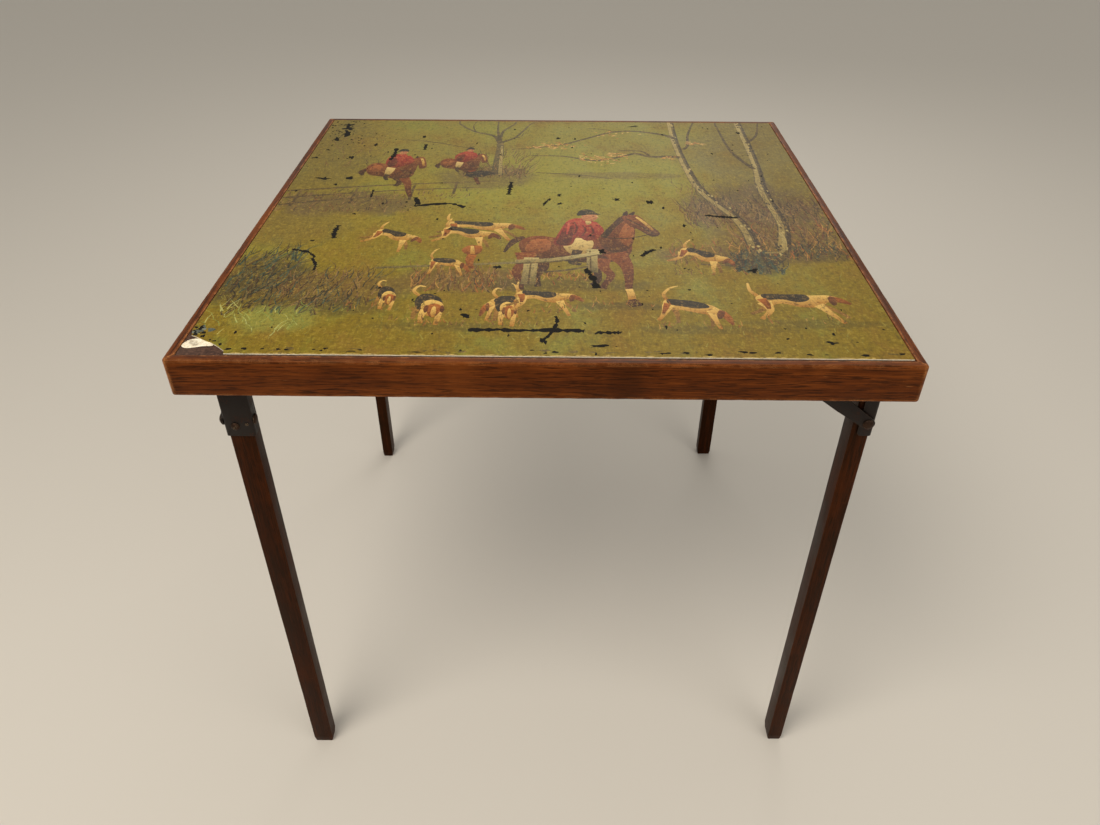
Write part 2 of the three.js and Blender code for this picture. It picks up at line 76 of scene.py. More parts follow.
# ---------- colour ----------
def srgb(r, g, b, alpha=1.0):
    """A colour given on the 0 to 255 display scale, as linear light."""
    def linear(value):
        v = value / 255
        return v / 12.92 if v <= 0.04045 else ((v + 0.055) / 1.055) ** 2.4
    return (linear(r), linear(g), linear(b), alpha)


def blend_colour(a, b, share):
    return tuple(x + (y - x) * share for x, y in zip(a, b))


# ---------- shader nodes ----------
class Value:
    """A number that a material's nodes work out. It adds and multiplies as a number does."""

    def __init__(self, surface, socket):
        self.surface, self.socket = surface, socket

    def maths(self, operation, other):
        made = self.surface.node("ShaderNodeMath", {0: self, 1: other}, operation=operation)
        return Value(self.surface, made[0])

    def __add__(self, other):
        return self.maths("ADD", other)

    def __sub__(self, other):
        return self.maths("SUBTRACT", other)

    def __mul__(self, other):
        return self.maths("MULTIPLY", other)

    def or_more(self, other):
        return self.maths("MAXIMUM", other)

    def between(self, low, high, to_low=0.0, to_high=1.0):
        """Its share of the way from low to high, smoothed and held at the ends."""
        made = self.surface.node("ShaderNodeMapRange", {
            "Value": self, "From Min": low, "From Max": high, "To Min": to_low,
            "To Max": to_high}, interpolation_type="SMOOTHSTEP")
        return Value(self.surface, made["Result"])


class Surface:
    """A material, with short ways to add nodes to it."""

    def __init__(self, name, drawn=False):
        self.material = bpy.data.materials.new(name)
        self.material.use_nodes = True
        self.tree = self.material.node_tree
        self.shader = self.tree.nodes["Principled BSDF"]
        self.drawn = drawn

    def feed(self, entry, value):
        """Links an input to another node, or sets it."""
        if isinstance(value, Value):
            value = value.socket
        if isinstance(value, bpy.types.NodeSocket):
            self.tree.links.new(value, entry)
        else:
            entry.default_value = value

    def node(self, kind, values=None, **settings):
        """A new node's outputs. values go to its inputs, by name or number."""
        made = self.tree.nodes.new(kind)
        for key, value in settings.items():
            setattr(made, key, value)
        for key, value in (values or {}).items():
            self.feed(made.inputs[key], value)
        return made.outputs

    def place(self):
        """A point where the piece was drawn, or else in the object's own coordinates."""
        if self.drawn:
            return self.node("ShaderNodeAttribute", attribute_name="grain")["Vector"]
        return self.node("ShaderNodeTexCoord")["Object"]

    def mapped(self, scale, turn):
        return self.node("ShaderNodeMapping", {"Vector": self.place(), "Scale": scale,
                                               "Rotation": (0, turn, turn)})["Vector"]

    def noise(self, scale, detail=4.0, rough=0.55, twist=0.0, turn=0.0):
        made = self.node("ShaderNodeTexNoise", {
            "Vector": self.mapped(scale, turn), "Scale": 1.0, "Detail": detail,
            "Roughness": rough, "Distortion": twist})
        return Value(self, made["Fac"])

    def mix(self, share, a, b):
        return self.node("ShaderNodeMix", {0: share, 6: a, 7: b}, data_type="RGBA",
                         blend_type="MIX")[2]

    def ramp(self, value, *stops):
        made = self.tree.nodes.new("ShaderNodeValToRGB")
        self.feed(made.inputs["Fac"], value)
        points = made.color_ramp.elements
        while len(points) < len(stops):
            points.new(0.5)
        for point, (place, colour) in zip(points, stops):
            point.position = place
            point.color = colour
        return made.outputs["Color"]

    def rounded(self, radius, samples):
        return self.node("ShaderNodeBevel", {"Radius": radius}, samples=samples)["Normal"]

    def edge(self, radius):
        """1 on edges sharper than about 30 degrees and 0 on flat faces."""
        flat = self.node("ShaderNodeNewGeometry")["Normal"]
        facing = self.node("ShaderNodeVectorMath", {0: self.rounded(radius, 6), 1: flat},
                           operation="DOT_PRODUCT")["Value"]
        almost_flat, sharp = 0.997, 0.86
        return Value(self, facing).between(almost_flat, sharp)

    def finish(self, colour, roughness, height, depth, strength, normal=None, constants=None):
        """Joins the shader's inputs. depth is how far a height of 1 lifts the surface."""
        bump = {"Height": height, "Distance": depth, "Strength": strength}
        if normal is not None:
            bump["Normal"] = normal
        inputs = {"Base Color": colour, "Roughness": roughness,
                  "Normal": self.node("ShaderNodeBump", bump)["Normal"]}
        for key, value in {**inputs, **(constants or {})}.items():
            self.feed(self.shader.inputs[key], value)
        return self.material


# ---------- wood, steel, board and paper ----------
WARM_SHEEN = srgb(236, 176, 120)


def stained_wood(name, dark, middle, light, worn, along, drawn=False, wear=1.0, coat=0.05,
                 rim=6 * MM):
    """Stained and varnished wood. along is the axis, 0 to 2, that the grain runs on, and rim
    is how far the wear reaches from an edge."""
    s = Surface(name, drawn)

    def stretched(across, length):
        scale = [across] * 3
        scale[along] = length
        return scale

    streaks = s.noise(stretched(520, 17), detail=6, rough=0.7, twist=0.3)
    bands = s.noise(stretched(72, 2.4), detail=5, twist=0.9)
    pores = s.noise(stretched(820, 46), detail=3)
    blotch = s.noise((9, 9, 9), detail=5)
    grain = streaks * 0.62 + bands * 0.38
    colour = s.ramp(grain, (0.34, dark), (0.5, middle), (0.68, light))
    colour = s.mix(pores.between(0.48, 0.38, 0, 0.85), colour, dark)
    colour = s.mix(blotch.between(0.5, 0.72, 0, 0.6), colour, light)
    colour = s.mix(blotch.between(0.48, 0.3, 0, 0.6), colour, dark)

    edge = s.edge(rim)
    rub = s.noise((70, 70, 70), detail=6, rough=0.7)
    scuffs = s.noise((30, 520, 520), detail=3, turn=0.5)
    scuffs_too = s.noise((420, 24, 700), detail=3, turn=-0.3)
    marks = scuffs.between(0.70, 0.76, 0, 0.5) + scuffs_too.between(0.71, 0.77, 0, 0.5)
    worn_share = edge * rub.between(0.4, 0.62, 0.1, wear)
    worn_share = worn_share.or_more(marks * blotch.between(0.5, 0.6))
    colour = s.mix(worn_share, colour, worn)
    chips = s.noise((150, 150, 150), detail=4, rough=0.8)
    chip_share = edge * chips.between(0.62, 0.68)
    colour = s.mix(chip_share, colour, srgb(22, 12, 8))

    roughness = blotch.between(0.3, 0.7, 0.34, 0.52) + worn_share * 0.2
    height = streaks * 0.5 + pores.between(0.36, 0.5) * 0.5 - chip_share * 1.5
    return s.finish(colour, roughness, height, 0.12 * MM, 0.8, constants={
        "Coat Weight": coat, "Coat Roughness": 0.34, "Specular IOR Level": 0.14,
        "Specular Tint": WARM_SHEEN})


def old_steel(name, paint, rust, bright, wear, metallic):
    """Dark lacquered or tarnished steel, with rust in patches and bright rubbed edges."""
    s = Surface(name)
    cloud = s.noise((60, 60, 60), detail=6, rough=0.65)
    fine = s.noise((600, 600, 600), detail=3, rough=0.6)
    lines = s.noise((80, 900, 900), detail=2, turn=0.6)
    speckle = cloud * 0.6 + fine * 0.4
    colour = s.ramp(speckle, (0.38, blend_colour(paint, (0, 0, 0, 1), 0.4)), (0.55, paint))
    colour = s.mix(speckle.between(0.53, 0.64, 0, 0.85), colour, rust)
    rubbed = s.edge(0.9 * MM) * fine.between(0.4, 0.6, 0.1, wear)
    rubbed = rubbed.or_more(lines.between(0.72, 0.78, 0, 0.6 * wear))
    colour = s.mix(rubbed, colour, bright)
    roughness = speckle.between(0.35, 0.65, 0.36, 0.66) + rubbed * -0.1
    return s.finish(colour, roughness, speckle, 0.08 * MM, 0.7, s.rounded(0.45 * MM, 4),
                    {"Metallic": metallic})


def fibre_board(name):
    """Dark pressed board, with short pale fibres and scuffed dust."""
    s = Surface(name)
    fibre = s.noise((500, 160, 500), detail=5, rough=0.7, turn=0.3)
    other = s.noise((170, 620, 500), detail=4, turn=-0.4)
    cloud = s.noise((14, 14, 14), detail=5)
    both = (fibre + other) * 0.5
    colour = s.ramp(both, (0.38, srgb(38, 25, 20)), (0.5, srgb(66, 45, 36)),
                    (0.62, srgb(96, 68, 54)))
    colour = s.mix(cloud.between(0.5, 0.7, 0, 0.5), colour, srgb(84, 66, 56))
    return s.finish(colour, cloud.between(0.3, 0.7, 0.72, 0.9), both, 0.2 * MM, 0.9,
                    constants={"Specular IOR Level": 0.25})


def torn_paper(name):
    """The cream core of the sheet, seen on its cut edge and where it is torn."""
    s = Surface(name)
    fibre = s.noise((420, 420, 900), detail=6, rough=0.7)
    soil = s.noise((45, 45, 45), detail=5, rough=0.65)
    colour = s.ramp(fibre, (0.35, srgb(206, 190, 160)), (0.6, srgb(244, 236, 214)))
    colour = s.mix(soil.between(0.54, 0.68, 0, 0.8), colour, srgb(96, 78, 48))
    return s.finish(colour, fibre.between(0.3, 0.7, 0.75, 0.92), fibre, 0.15 * MM, 1.0)


# ---------- meshes ----------
def loft(loops):
    """A closed solid through loops of points, all with the same number of points."""
    bm = bmesh.new()
    rings = [[bm.verts.new(point) for point in loop] for loop in loops]
    for a, b in zip(rings, rings[1:]):
        for i in range(len(a)):
            j = (i + 1) % len(a)
            bm.faces.new((a[i], a[j], b[j], b[i]))
    bm.faces.new(rings[0][::-1])
    bm.faces.new(rings[-1])
    bmesh.ops.recalc_face_normals(bm, faces=bm.faces)
    return bm


def plate(outline, y_front, y_back):
    """A flat plate that faces Y, from an outline in X and Z."""
    return loft([[(x, y, z) for x, z in outline] for y in (y_front, y_back)])


def turned(profile, centre, along, steps=28):
    """A turned piece. The profile is [(radius, distance)], and both ends are on the axis."""
    bm = bmesh.new()
    side = Vector((0, 0, 1))
    other = along.cross(side)
    first = bm.verts.new(centre + along * profile[0][1])
    last = bm.verts.new(centre + along * profile[-1][1])
    rings = []
    for radius, distance in profile[1:-1]:
        spokes = [2 * math.pi * i / steps for i in range(steps)]
        rings.append([bm.verts.new(centre + along * distance + radius * (
            math.cos(a) * side + math.sin(a) * other)) for a in spokes])
    for i in range(steps):
        j = (i + 1) % steps
        bm.faces.new((first, rings[0][i], rings[0][j]))
        bm.faces.new((last, rings[-1][j], rings[-1][i]))
        for a, b in zip(rings, rings[1:]):
            bm.faces.new((a[i], b[i], b[j], a[j]))
    bmesh.ops.recalc_face_normals(bm, faces=bm.faces)
    return bm


def soften(bm, width, segments=2, above=30):
    """Bevels every edge that turns by more than an angle in degrees."""
    sharp = [e for e in bm.edges
             if len(e.link_faces) == 2 and e.calc_face_angle(0) > math.radians(above)]
    bmesh.ops.bevel(bm, geom=sharp, offset=width, segments=segments, affect="EDGES",
                    profile=0.5, clamp_overlap=True)
    return bm


def arc(x, y, radius, start, end, steps):
    """Points on an arc, with both ends, from and to angles in degrees."""
    angles = [math.radians(start + (end - start) * i / steps) for i in range(steps + 1)]
    return [(x + radius * math.cos(a), y + radius * math.sin(a)) for a in angles]


def add_piece(name, bm, materials, body, nodes, turn=0, keep_grain=False):
    """Turns a drawn piece by quarter turns about Z, and puts it in the scene."""
    mesh = bpy.data.meshes.new(name)
    bm.to_mesh(mesh)
    if keep_grain:
        shift = Vector((0.9, 0.4, 1.3)) * turn
        made = mesh.attributes.new("grain", "FLOAT_VECTOR", "POINT")
        flat = [value for v in mesh.vertices for value in v.co + shift]
        made.data.foreach_set("vector", flat)
    mesh.transform(Matrix.Rotation(turn * math.pi / 2, 4, "Z"))
    for face in mesh.polygons:
        face.use_smooth = True
    mesh.set_sharp_from_angle(angle=math.radians(32))
    for material in materials:
        mesh.materials.append(material)
    piece = bpy.data.objects.new(name, mesh)
    bpy.context.scene.collection.objects.link(piece)
    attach(piece, body)
    if nodes:
        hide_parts(*nodes)
    return piece


def add_corners(name, bm, material, body, replaced=True):
    """The same piece in all four corners. body takes the corner's name in its braces."""
    for turn, corner in enumerate(CORNERS):
        add_piece(f"{name}_piece_{corner}", bm, [material], body.format(corner),
                  [f"{name}_{corner}"] if replaced else [], turn)
    bm.free()


# ---------- rails ----------
def rail_mesh():
    """A mitred rail, drawn as a section of depth and height that moves along it. The rebate
    behind its lip holds the board."""
    low, high = rail_low.z, rail_high.z
    thickness, lip = rail_high.y - rail_low.y, 10 * MM
    rebate = board_low.z - 0.3 * MM
    top_round, low_round, corner_round = 2.6 * MM, 1.6 * MM, 4.5 * MM
    lip_round, chamfer, small_chamfer = 0.7 * MM, 0.8 * MM, 0.4 * MM
    mitre_gap, wear_reach = 0.21 * MM, 4 * MM
    section = [(thickness, low + chamfer), (thickness, rebate - small_chamfer),
               (thickness - small_chamfer, rebate), (lip, rebate), (lip, high - lip_round)]
    section += arc(lip - lip_round, high - lip_round, lip_round, 0, 90, 3)[1:]
    section += arc(top_round, high - top_round, top_round, 90, 180, 6)
    section += arc(low_round, low + low_round, low_round, 180, 270, 4)
    section += [(thickness - chamfer, low)]

    steps = 90
    ends = [1 - e * MM / HALF for e in (0, 0.6, 1.2, 1.8, 2.5, 3.3, 4.6, 7)]
    inside = [ends[-1] * (1 - 2 * i / steps) for i in range(1, steps)]
    stations = ends + inside + [-t for t in reversed(ends)]
    centre = HALF - corner_round

    def place(t, depth, z):
        x = t * (HALF - mitre_gap - depth)
        outer = max(0.0, 1 - depth / wear_reach)
        edge = max(0.0, 1 - min(high - z, z - low) / wear_reach)
        dent = noise.noise(Vector((x * 38, 3.1, z * 30)))
        nick = noise.noise(Vector((x * 140, 7.7, z * 90)))
        push = outer * (0.10 + 0.12 * dent + edge * (0.3 * max(0, dent) + 0.5 * max(0, nick))) * MM
        sink = edge * outer * 0.25 * max(0, nick) * MM * (1 if z > (low + high) / 2 else -1)
        depth += push
        if abs(x) > centre and depth < corner_round:
            away = Vector((abs(x) - centre, depth - corner_round)).normalized()
            away *= corner_round - depth
            return (math.copysign(centre + away.x, x), -centre + away.y, z - sink)
        return (x, -HALF + depth, z - sink)

    return loft([[place(t, depth, z) for depth, z in section] for t in stations])


# ---------- legs ----------
def leg_mesh():
    """A straight leg with rubbed faces, tapered over the foot."""
    round_edge, foot, taper = 1.2 * MM, 10 * MM, 0.11
    middle = (leg_low + leg_high) / 2
    half_x, half_y = (leg_high.x - leg_low.x) / 2, (leg_high.y - leg_low.y) / 2
    section = []
    for sx, sy, start in ((1, -1, -90), (1, 1, 0), (-1, 1, 90), (-1, -1, 180)):
        section += arc(sx * (half_x - round_edge), sy * (half_y - round_edge), round_edge,
                       start, start + 90, 3)
    end_round, end_inset = 0.5 * MM, 0.03
    heights = [0, end_round, 1.5 * MM, 4 * MM, 7 * MM, foot, 12 * MM]
    steps = 70
    heights += [heights[-1] + (leg_high.z - heights[-1]) * i / steps for i in range(1, steps + 1)]

    def loop(z):
        size = 1 - taper * max(0.0, 1 - z / foot)
        if z < end_round:
            size -= end_inset
        points = []
        for x, y in section:
            dent = noise.noise(Vector((x * 60, y * 60, z * 26)))
            nick = noise.noise(Vector((x * 90, y * 90, z * 120)))
            rub = 1 - 0.008 * (1 + dent) - 0.03 * max(0, nick - 0.25)
            points.append((middle.x + x * size * rub, middle.y + y * size * rub, z))
        return points

    return loft([loop(z) for z in heights])


# ---------- hardware ----------
def leg_cap_mesh():
    """The steel channel on a leg's top: its plan runs from ear to ear round the web."""
    steel, bend, ear_round = 2 * MM, 3 * MM, 6.5 * MM
    web_drop, ear_slope, lead = 2 * MM, 12 * MM, 3 * MM
    x0, x1, y0, y1 = cap_low.x, cap_high.x, cap_low.y, cap_high.y
    steps = 16
    run = [x0 + (x1 - bend - x0) * i / steps for i in range(steps)]
    outer = [((x, y0), (0, -1)) for x in run]
    bends = ((x1 - bend, y0 + bend, -90), (x1 - bend, y1 - bend, 0))
    for cx, cy, start in bends:
        for i in range(6):
            a = math.radians(start + 18 * i)
            way = (math.cos(a), math.sin(a))
            outer.append(((cx + bend * way[0], cy + bend * way[1]), way))
    outer += [((x, y1), (0, 1)) for x in reversed(run)]

    def top(x):
        if x > pivot.x + ear_round:
            return pivot.z - web_drop
        if x > pivot.x - ear_round:
            return pivot.z + math.sqrt(ear_round ** 2 - (x - pivot.x) ** 2)
        return pivot.z - ear_slope + ear_slope * (x - x0) / (pivot.x - ear_round - x0)

    loops = []
    for (x, y), (nx, ny) in outer:
        high, low = top(x), cap_low.z + max(0.0, lead - (x - x0))
        ix, iy = x - steel * nx, y - steel * ny
        loops.append([(x, y, low), (x, y, high), (ix, iy, high), (ix, iy, low)])
    return soften(loft(loops), 0.35 * MM)


def brace_mesh():
    """A flat bar from its leg rivet to its pin, widest between."""
    pin_low, pin_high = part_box("slide_pin_fr")
    pin = (pin_low + pin_high) / 2
    reach = Vector((pin.x - rivet.x, pin.z - rivet.z))
    length, along = reach.length, reach.normalized()
    across = Vector((-along.y, along.x))
    neck, body, tip = 7 * MM, 8.8 * MM, 6.5 * MM
    neck_end, tip_start = 40 * MM, length - 20 * MM
    local = arc(0, 0, neck, 90, 270, 12)
    local += [(neck_end, -body), (tip_start, -body)]
    local += arc(length, 0, tip, -90, 90, 12)
    local += [(tip_start, body), (neck_end, body)]
    outline = []
    for u, w in local:
        p = Vector((rivet.x, rivet.z)) + along * u + across * w
        outline.append((p.x, p.y))
    return soften(plate(outline, brace_low.y, brace_high.y), 0.4 * MM)


def rivet_mesh(node, shank, head_depth):
    """A rivet along Y with a low round head at each end, filling its CAD node's box."""
    low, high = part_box(node)
    middle = (low + high) / 2
    half = (high.y - low.y) / 2
    head = (high.x - low.x) / 2
    dome = [(head * math.sin(math.radians(a)), half - head_depth * (1 - math.cos(math.radians(a))))
            for a in range(0, 91, 15)]
    upper = dome + [(shank, half - head_depth)]
    profile = [(r, -d) for r, d in upper] + upper[::-1]
    return soften(turned(profile, middle, Vector((0, 1, 0))), 0.15 * MM, 1, 50)


def screw_mesh(seat, along, head, head_depth, shank, length, slot_way):
    """A round-headed screw: seat is the middle of its head's underside."""
    dome = [(head * math.sin(math.radians(a)), head_depth * math.cos(math.radians(a)))
            for a in range(0, 91, 15)]
    profile = dome + [(shank, 0), (shank, shank * 2 - length), (0, -length)]
    bm = turned(profile, seat, along)
    slot_width, slot_depth = 1.0 * MM, 0.9 * MM
    cutter = bmesh.new()
    bmesh.ops.create_cube(cutter, size=1)
    third = along.cross(slot_way)
    size = Matrix.Diagonal((3 * head, slot_width, 2 * slot_depth, 1))
    axes = Matrix((slot_way, third, along)).transposed().to_4x4()
    where = Matrix.Translation(seat + along * head_depth)
    cutter.transform(where @ axes @ size)
    cut = cut_with(bm, cutter)
    return soften(cut, 0.12 * MM, 1, 40)


def cut_with(bm, cutter):
    """bm less cutter. It frees both."""
    objects = []
    for shape in (bm, cutter):
        mesh = bpy.data.meshes.new("tool")
        shape.to_mesh(mesh)
        shape.free()
        objects.append(bpy.data.objects.new("tool", mesh))
        bpy.context.scene.collection.objects.link(objects[-1])
    cut = objects[0].modifiers.new("cut", "BOOLEAN")
    cut.operation = "DIFFERENCE"
    cut.object = objects[1]
    cut.solver = "EXACT"
    bpy.context.view_layer.update()
    graph = bpy.context.evaluated_depsgraph_get()
    result = bmesh.new()
    result.from_mesh(objects[0].evaluated_get(graph).to_mesh())
    for o in objects:
        bpy.data.objects.remove(o)
    return result


# ---------- the printed picture ----------
# Everything here is in millimetres on the table top: x to the right and y to the back.
SHEET = sheet_high.x / MM
TORN = [(-SHEET, -317), (-360, -329), (-351, -334), (-341, -341), (-336, -343), (-328, -349),
        (-318, -358), (-317, -SHEET)]


def curve(points, closed=False, steps=4):
    """A smooth line through points. It also smooths any further number, such as a width."""
    count = len(points)
    line = []
    for i in range(count if closed else count - 1):
        if closed:
            near = [points[(i + k - 1) % count] for k in range(4)]
        else:
            near = [points[min(max(i + k - 1, 0), count - 1)] for k in range(4)]
        for s in range(steps):
            t = s / steps
            line.append(tuple(
                0.5 * (2 * b + (c - a) * t + (2 * a - 5 * b + 4 * c - d) * t ** 2
                       + (3 * b - a - 3 * c + d) * t ** 3) for a, b, c, d in zip(*near)))
    if not closed:
        line.append(tuple(points[-1]))
    return line


def in_outline(outline, x, y):
    """Whether a line from the point to one side crosses the outline an odd number of times."""
    inside = False
    for (ax, ay), (bx, by) in zip(outline, outline[-1:] + outline[:-1]):
        if (ay > y) != (by > y) and x < (bx - ax) * (y - ay) / (by - ay) + ax:
            inside = not inside
    return inside


class Picture:
    """Flat shapes, each with a colour at its bottom and its top. Later ones lie over others."""

    closest = 0.05

    def __init__(self, reach):
        self.shapes = []
        self.reach = reach

    def add(self, outline, low, high=None):
        """Keeps a shape within reach, less any point that almost repeats the last one."""
        held = []
        for x, y in outline:
            point = (max(-self.reach, min(self.reach, x)), max(-self.reach, min(self.reach, y)))
            if not held or math.dist(point, held[-1]) > self.closest:
                held.append(point)
        if len(held) > 3 and math.dist(held[0], held[-1]) < self.closest:
            held.pop()
        if len(held) > 2:
            self.shapes.append((held, low, high or low))

    def blob(self, points, low, high=None, steps=4):
        self.add(curve(points, closed=True, steps=steps), low, high)

    def ribbon(self, points, low, high=None, steps=4):
        """A line of varying width. Each point is (x, y, half width)."""
        line = curve(points, steps=steps)
        left, right = [], []
        for i, (x, y, w) in enumerate(line):
            bx, by = line[max(i - 1, 0)][:2]
            ax, ay = line[min(i + 1, len(line) - 1)][:2]
            size = math.hypot(ax - bx, ay - by) or 1
            nx, ny = -(ay - by) / size, (ax - bx) / size
            left.append((x + nx * w, y + ny * w))
            right.append((x - nx * w, y - ny * w))
        self.add(left + right[::-1], low, high)

    def dab(self, x, y, rx, ry, colour, ragged=0.25, count=9):
        """A ragged round mark."""
        points = []
        for i in range(count):
            a = 2 * math.pi * i / count
            r = 1 + random.uniform(-ragged, ragged)
            points.append((x + rx * r * math.cos(a), y + ry * r * math.sin(a)))
        self.blob(points, colour, steps=2)

    def blade(self, x, y, dx, dy, width, colour):
        """A short pointed stroke from (x, y)."""
        bend = random.uniform(-0.18, 0.18)
        middle = (x + dx * 0.5 - dy * bend, y + dy * 0.5 + dx * bend)
        self.ribbon([(x, y, width), (*middle, width * 0.8), (x + dx, y + dy, width * 0.15)],
                    colour, steps=2)

    def tuft(self, x0, y0, x1, y1, count, height, colours, lean, spread, width):
        """Blades that stand in a box."""
        for _ in range(count):
            tall = height * random.uniform(0.5, 1.3)
            way = lean + random.uniform(-spread, spread)
            colour = random.choice(colours)
            self.blade(random.uniform(x0, x1), random.uniform(y0, y1), tall * way, tall,
                       width * random.uniform(0.6, 1.4), colour)


class Drawing:
    """Draws a figure of a given local size in a box of the picture, turned by an angle in
    degrees about the middle of the box."""

    def __init__(self, picture, box, size, flip=False, tilt=0.0):
        self.picture, self.box, self.size, self.flip = picture, box, size, flip
        self.grow = ((box[2] - box[0]) / size[0] + (box[3] - box[1]) / size[1]) / 2
        self.turn = (math.cos(math.radians(tilt)), math.sin(math.radians(tilt)))

    def at(self, x, y):
        """A point of the figure, as a place in the picture."""
        x0, y0, x1, y1 = self.box
        share = x / self.size[0]
        if self.flip:
            share = 1 - share
        across, along = (x1 - x0) * (share - 0.5), (y1 - y0) * (y / self.size[1] - 0.5)
        c, s = self.turn
        return ((x0 + x1) / 2 + across * c - along * s, (y0 + y1) / 2 + across * s + along * c)

    def limb(self, colours, *points):
        """A ribbon. Each point is (x, y, half width)."""
        self.picture.ribbon([(*self.at(x, y), w * self.grow) for x, y, w in points], *colours)

    def patch(self, colours, *points):
        self.picture.blob([self.at(x, y) for x, y in points], *colours)


def inks(cover, *colours):
    """Colours of one cover, each given as its red, green and blue."""
    return tuple(srgb(*colour, cover) for colour in colours)


WHITE = inks(0.94, (160, 104, 30), (224, 184, 98))
SHADED = inks(0.94, (108, 74, 28), (158, 112, 44))
TAN = inks(0.94, (104, 50, 16), (166, 92, 34))
EAR = inks(0.94, (74, 36, 16), (120, 64, 30))
BLACK = inks(0.94, (20, 17, 13), (44, 40, 34))
CHIP = srgb(14, 12, 9)


def running_hound(picture, box, head=TAN, tilt=0.0):
    """A hound that runs to the right."""
    d = Drawing(picture, box, (100, 60), tilt=tilt)
    d.limb(SHADED, (68, 28, 4), (82, 21, 2.4), (93, 11, 1.8))
    d.limb(SHADED, (22, 28, 5), (13, 17, 2.6), (2, 11, 1.8))
    d.limb(WHITE, (13, 37, 2.2), (6, 46, 1.8), (5, 58, 0.8))
    d.patch(WHITE, (9, 34), (18, 41), (36, 41), (58, 42), (73, 41), (77, 33), (68, 25), (50, 24),
            (34, 28), (18, 24))
    d.patch(BLACK, (16, 41), (38, 42), (57, 43), (61, 36), (50, 31), (35, 34), (20, 33))
    d.limb(WHITE, (68, 28, 4.6), (78, 15, 2.6), (87, 3, 1.9))
    d.limb(WHITE, (17, 29, 6.4), (21, 17, 3), (11, 4, 2))
    d.limb(TAN, (15, 34, 4), (19, 26, 3), (20, 19, 1.6))
    d.limb(WHITE, (66, 36, 7), (78, 38, 6), (87, 37, 4.4))
    d.limb(head, (80, 38, 5), (90, 36, 4), (99, 31, 1.6))
    d.patch(EAR, (80, 41), (86, 40), (86, 31), (82, 28), (79, 34))


def nosing_hound(picture, box, flip=False, tilt=0.0):
    """A hound that stands with its nose to the ground and its tail up."""
    d = Drawing(picture, box, (100, 80), flip, tilt)
    d.limb(SHADED, (64, 36, 4), (70, 18, 2.6), (70, 4, 1.9))
    d.limb(SHADED, (22, 38, 5), (28, 20, 2.6), (30, 6, 1.9))
    d.limb(WHITE, (14, 48, 2.4), (9, 60, 2), (16, 73, 1.6), (26, 79, 0.7))
    d.patch(WHITE, (9, 44), (18, 51), (38, 49), (56, 47), (72, 43), (78, 34), (70, 26), (50, 28),
            (34, 31), (16, 32))
    d.patch(BLACK, (14, 50), (36, 51), (58, 48), (66, 40), (50, 36), (34, 38), (18, 40))
    d.limb(WHITE, (68, 34, 5), (74, 16, 2.8), (80, 1, 2))
    d.limb(WHITE, (16, 40, 7), (12, 22, 3.2), (6, 8, 2.2))
    d.limb(TAN, (15, 42, 4), (13, 32, 3), (11, 22, 1.6))
    d.limb(WHITE, (68, 36, 7), (79, 31, 6), (86, 25, 4.6))
    d.limb(TAN, (80, 32, 5.4), (88, 23, 4.6), (95, 10, 2))
    d.patch(EAR, (78, 36), (85, 34), (82, 22), (77, 20), (75, 27))


def facing_hound(picture, box):
    """A hound that comes towards the viewer."""
    d = Drawing(picture, box, (100, 150))
    d.limb(SHADED, (30, 70, 8), (24, 42, 6), (24, 22, 4))
    d.limb(WHITE, (26, 108, 4), (10, 128, 4), (18, 147, 3), (34, 144, 1.4))
    d.patch(BLACK, (18, 86), (26, 112), (48, 116), (72, 100), (80, 72), (60, 52), (30, 56))
    d.patch(WHITE, (34, 76), (52, 94), (78, 82), (84, 54), (66, 34), (44, 40))
    d.limb(WHITE, (44, 56, 9), (40, 32, 6), (42, 8, 5))
    d.limb(WHITE, (74, 56, 9), (76, 30, 6), (74, 3, 5))
    d.patch(TAN, (48, 70), (62, 80), (78, 70), (78, 50), (68, 30), (60, 30), (50, 48))
    d.patch(WHITE, (60, 66), (66, 67), (70, 46), (68, 32), (62, 31), (58, 46))
    d.patch(EAR, (44, 72), (51, 70), (50, 50), (45, 46), (41, 58))
    d.patch(EAR, (78, 72), (84, 68), (86, 54), (82, 46), (77, 54))


COAT = inks(0.95, (104, 20, 14), (172, 52, 40))
COAT_DARK = inks(0.95, (70, 14, 10), (112, 26, 20))
BREECHES = inks(0.95, (150, 118, 58), (226, 196, 124))
BOOT = inks(0.95, (30, 18, 12), (58, 34, 20))
BAY = inks(0.95, (62, 26, 10), (128, 62, 28))
BAY_LIGHT = inks(0.92, (112, 54, 24), (166, 92, 48))
BAY_DARK = inks(0.95, (38, 16, 8), (74, 34, 16))
SKIN = inks(0.95, (160, 96, 58), (198, 132, 86))


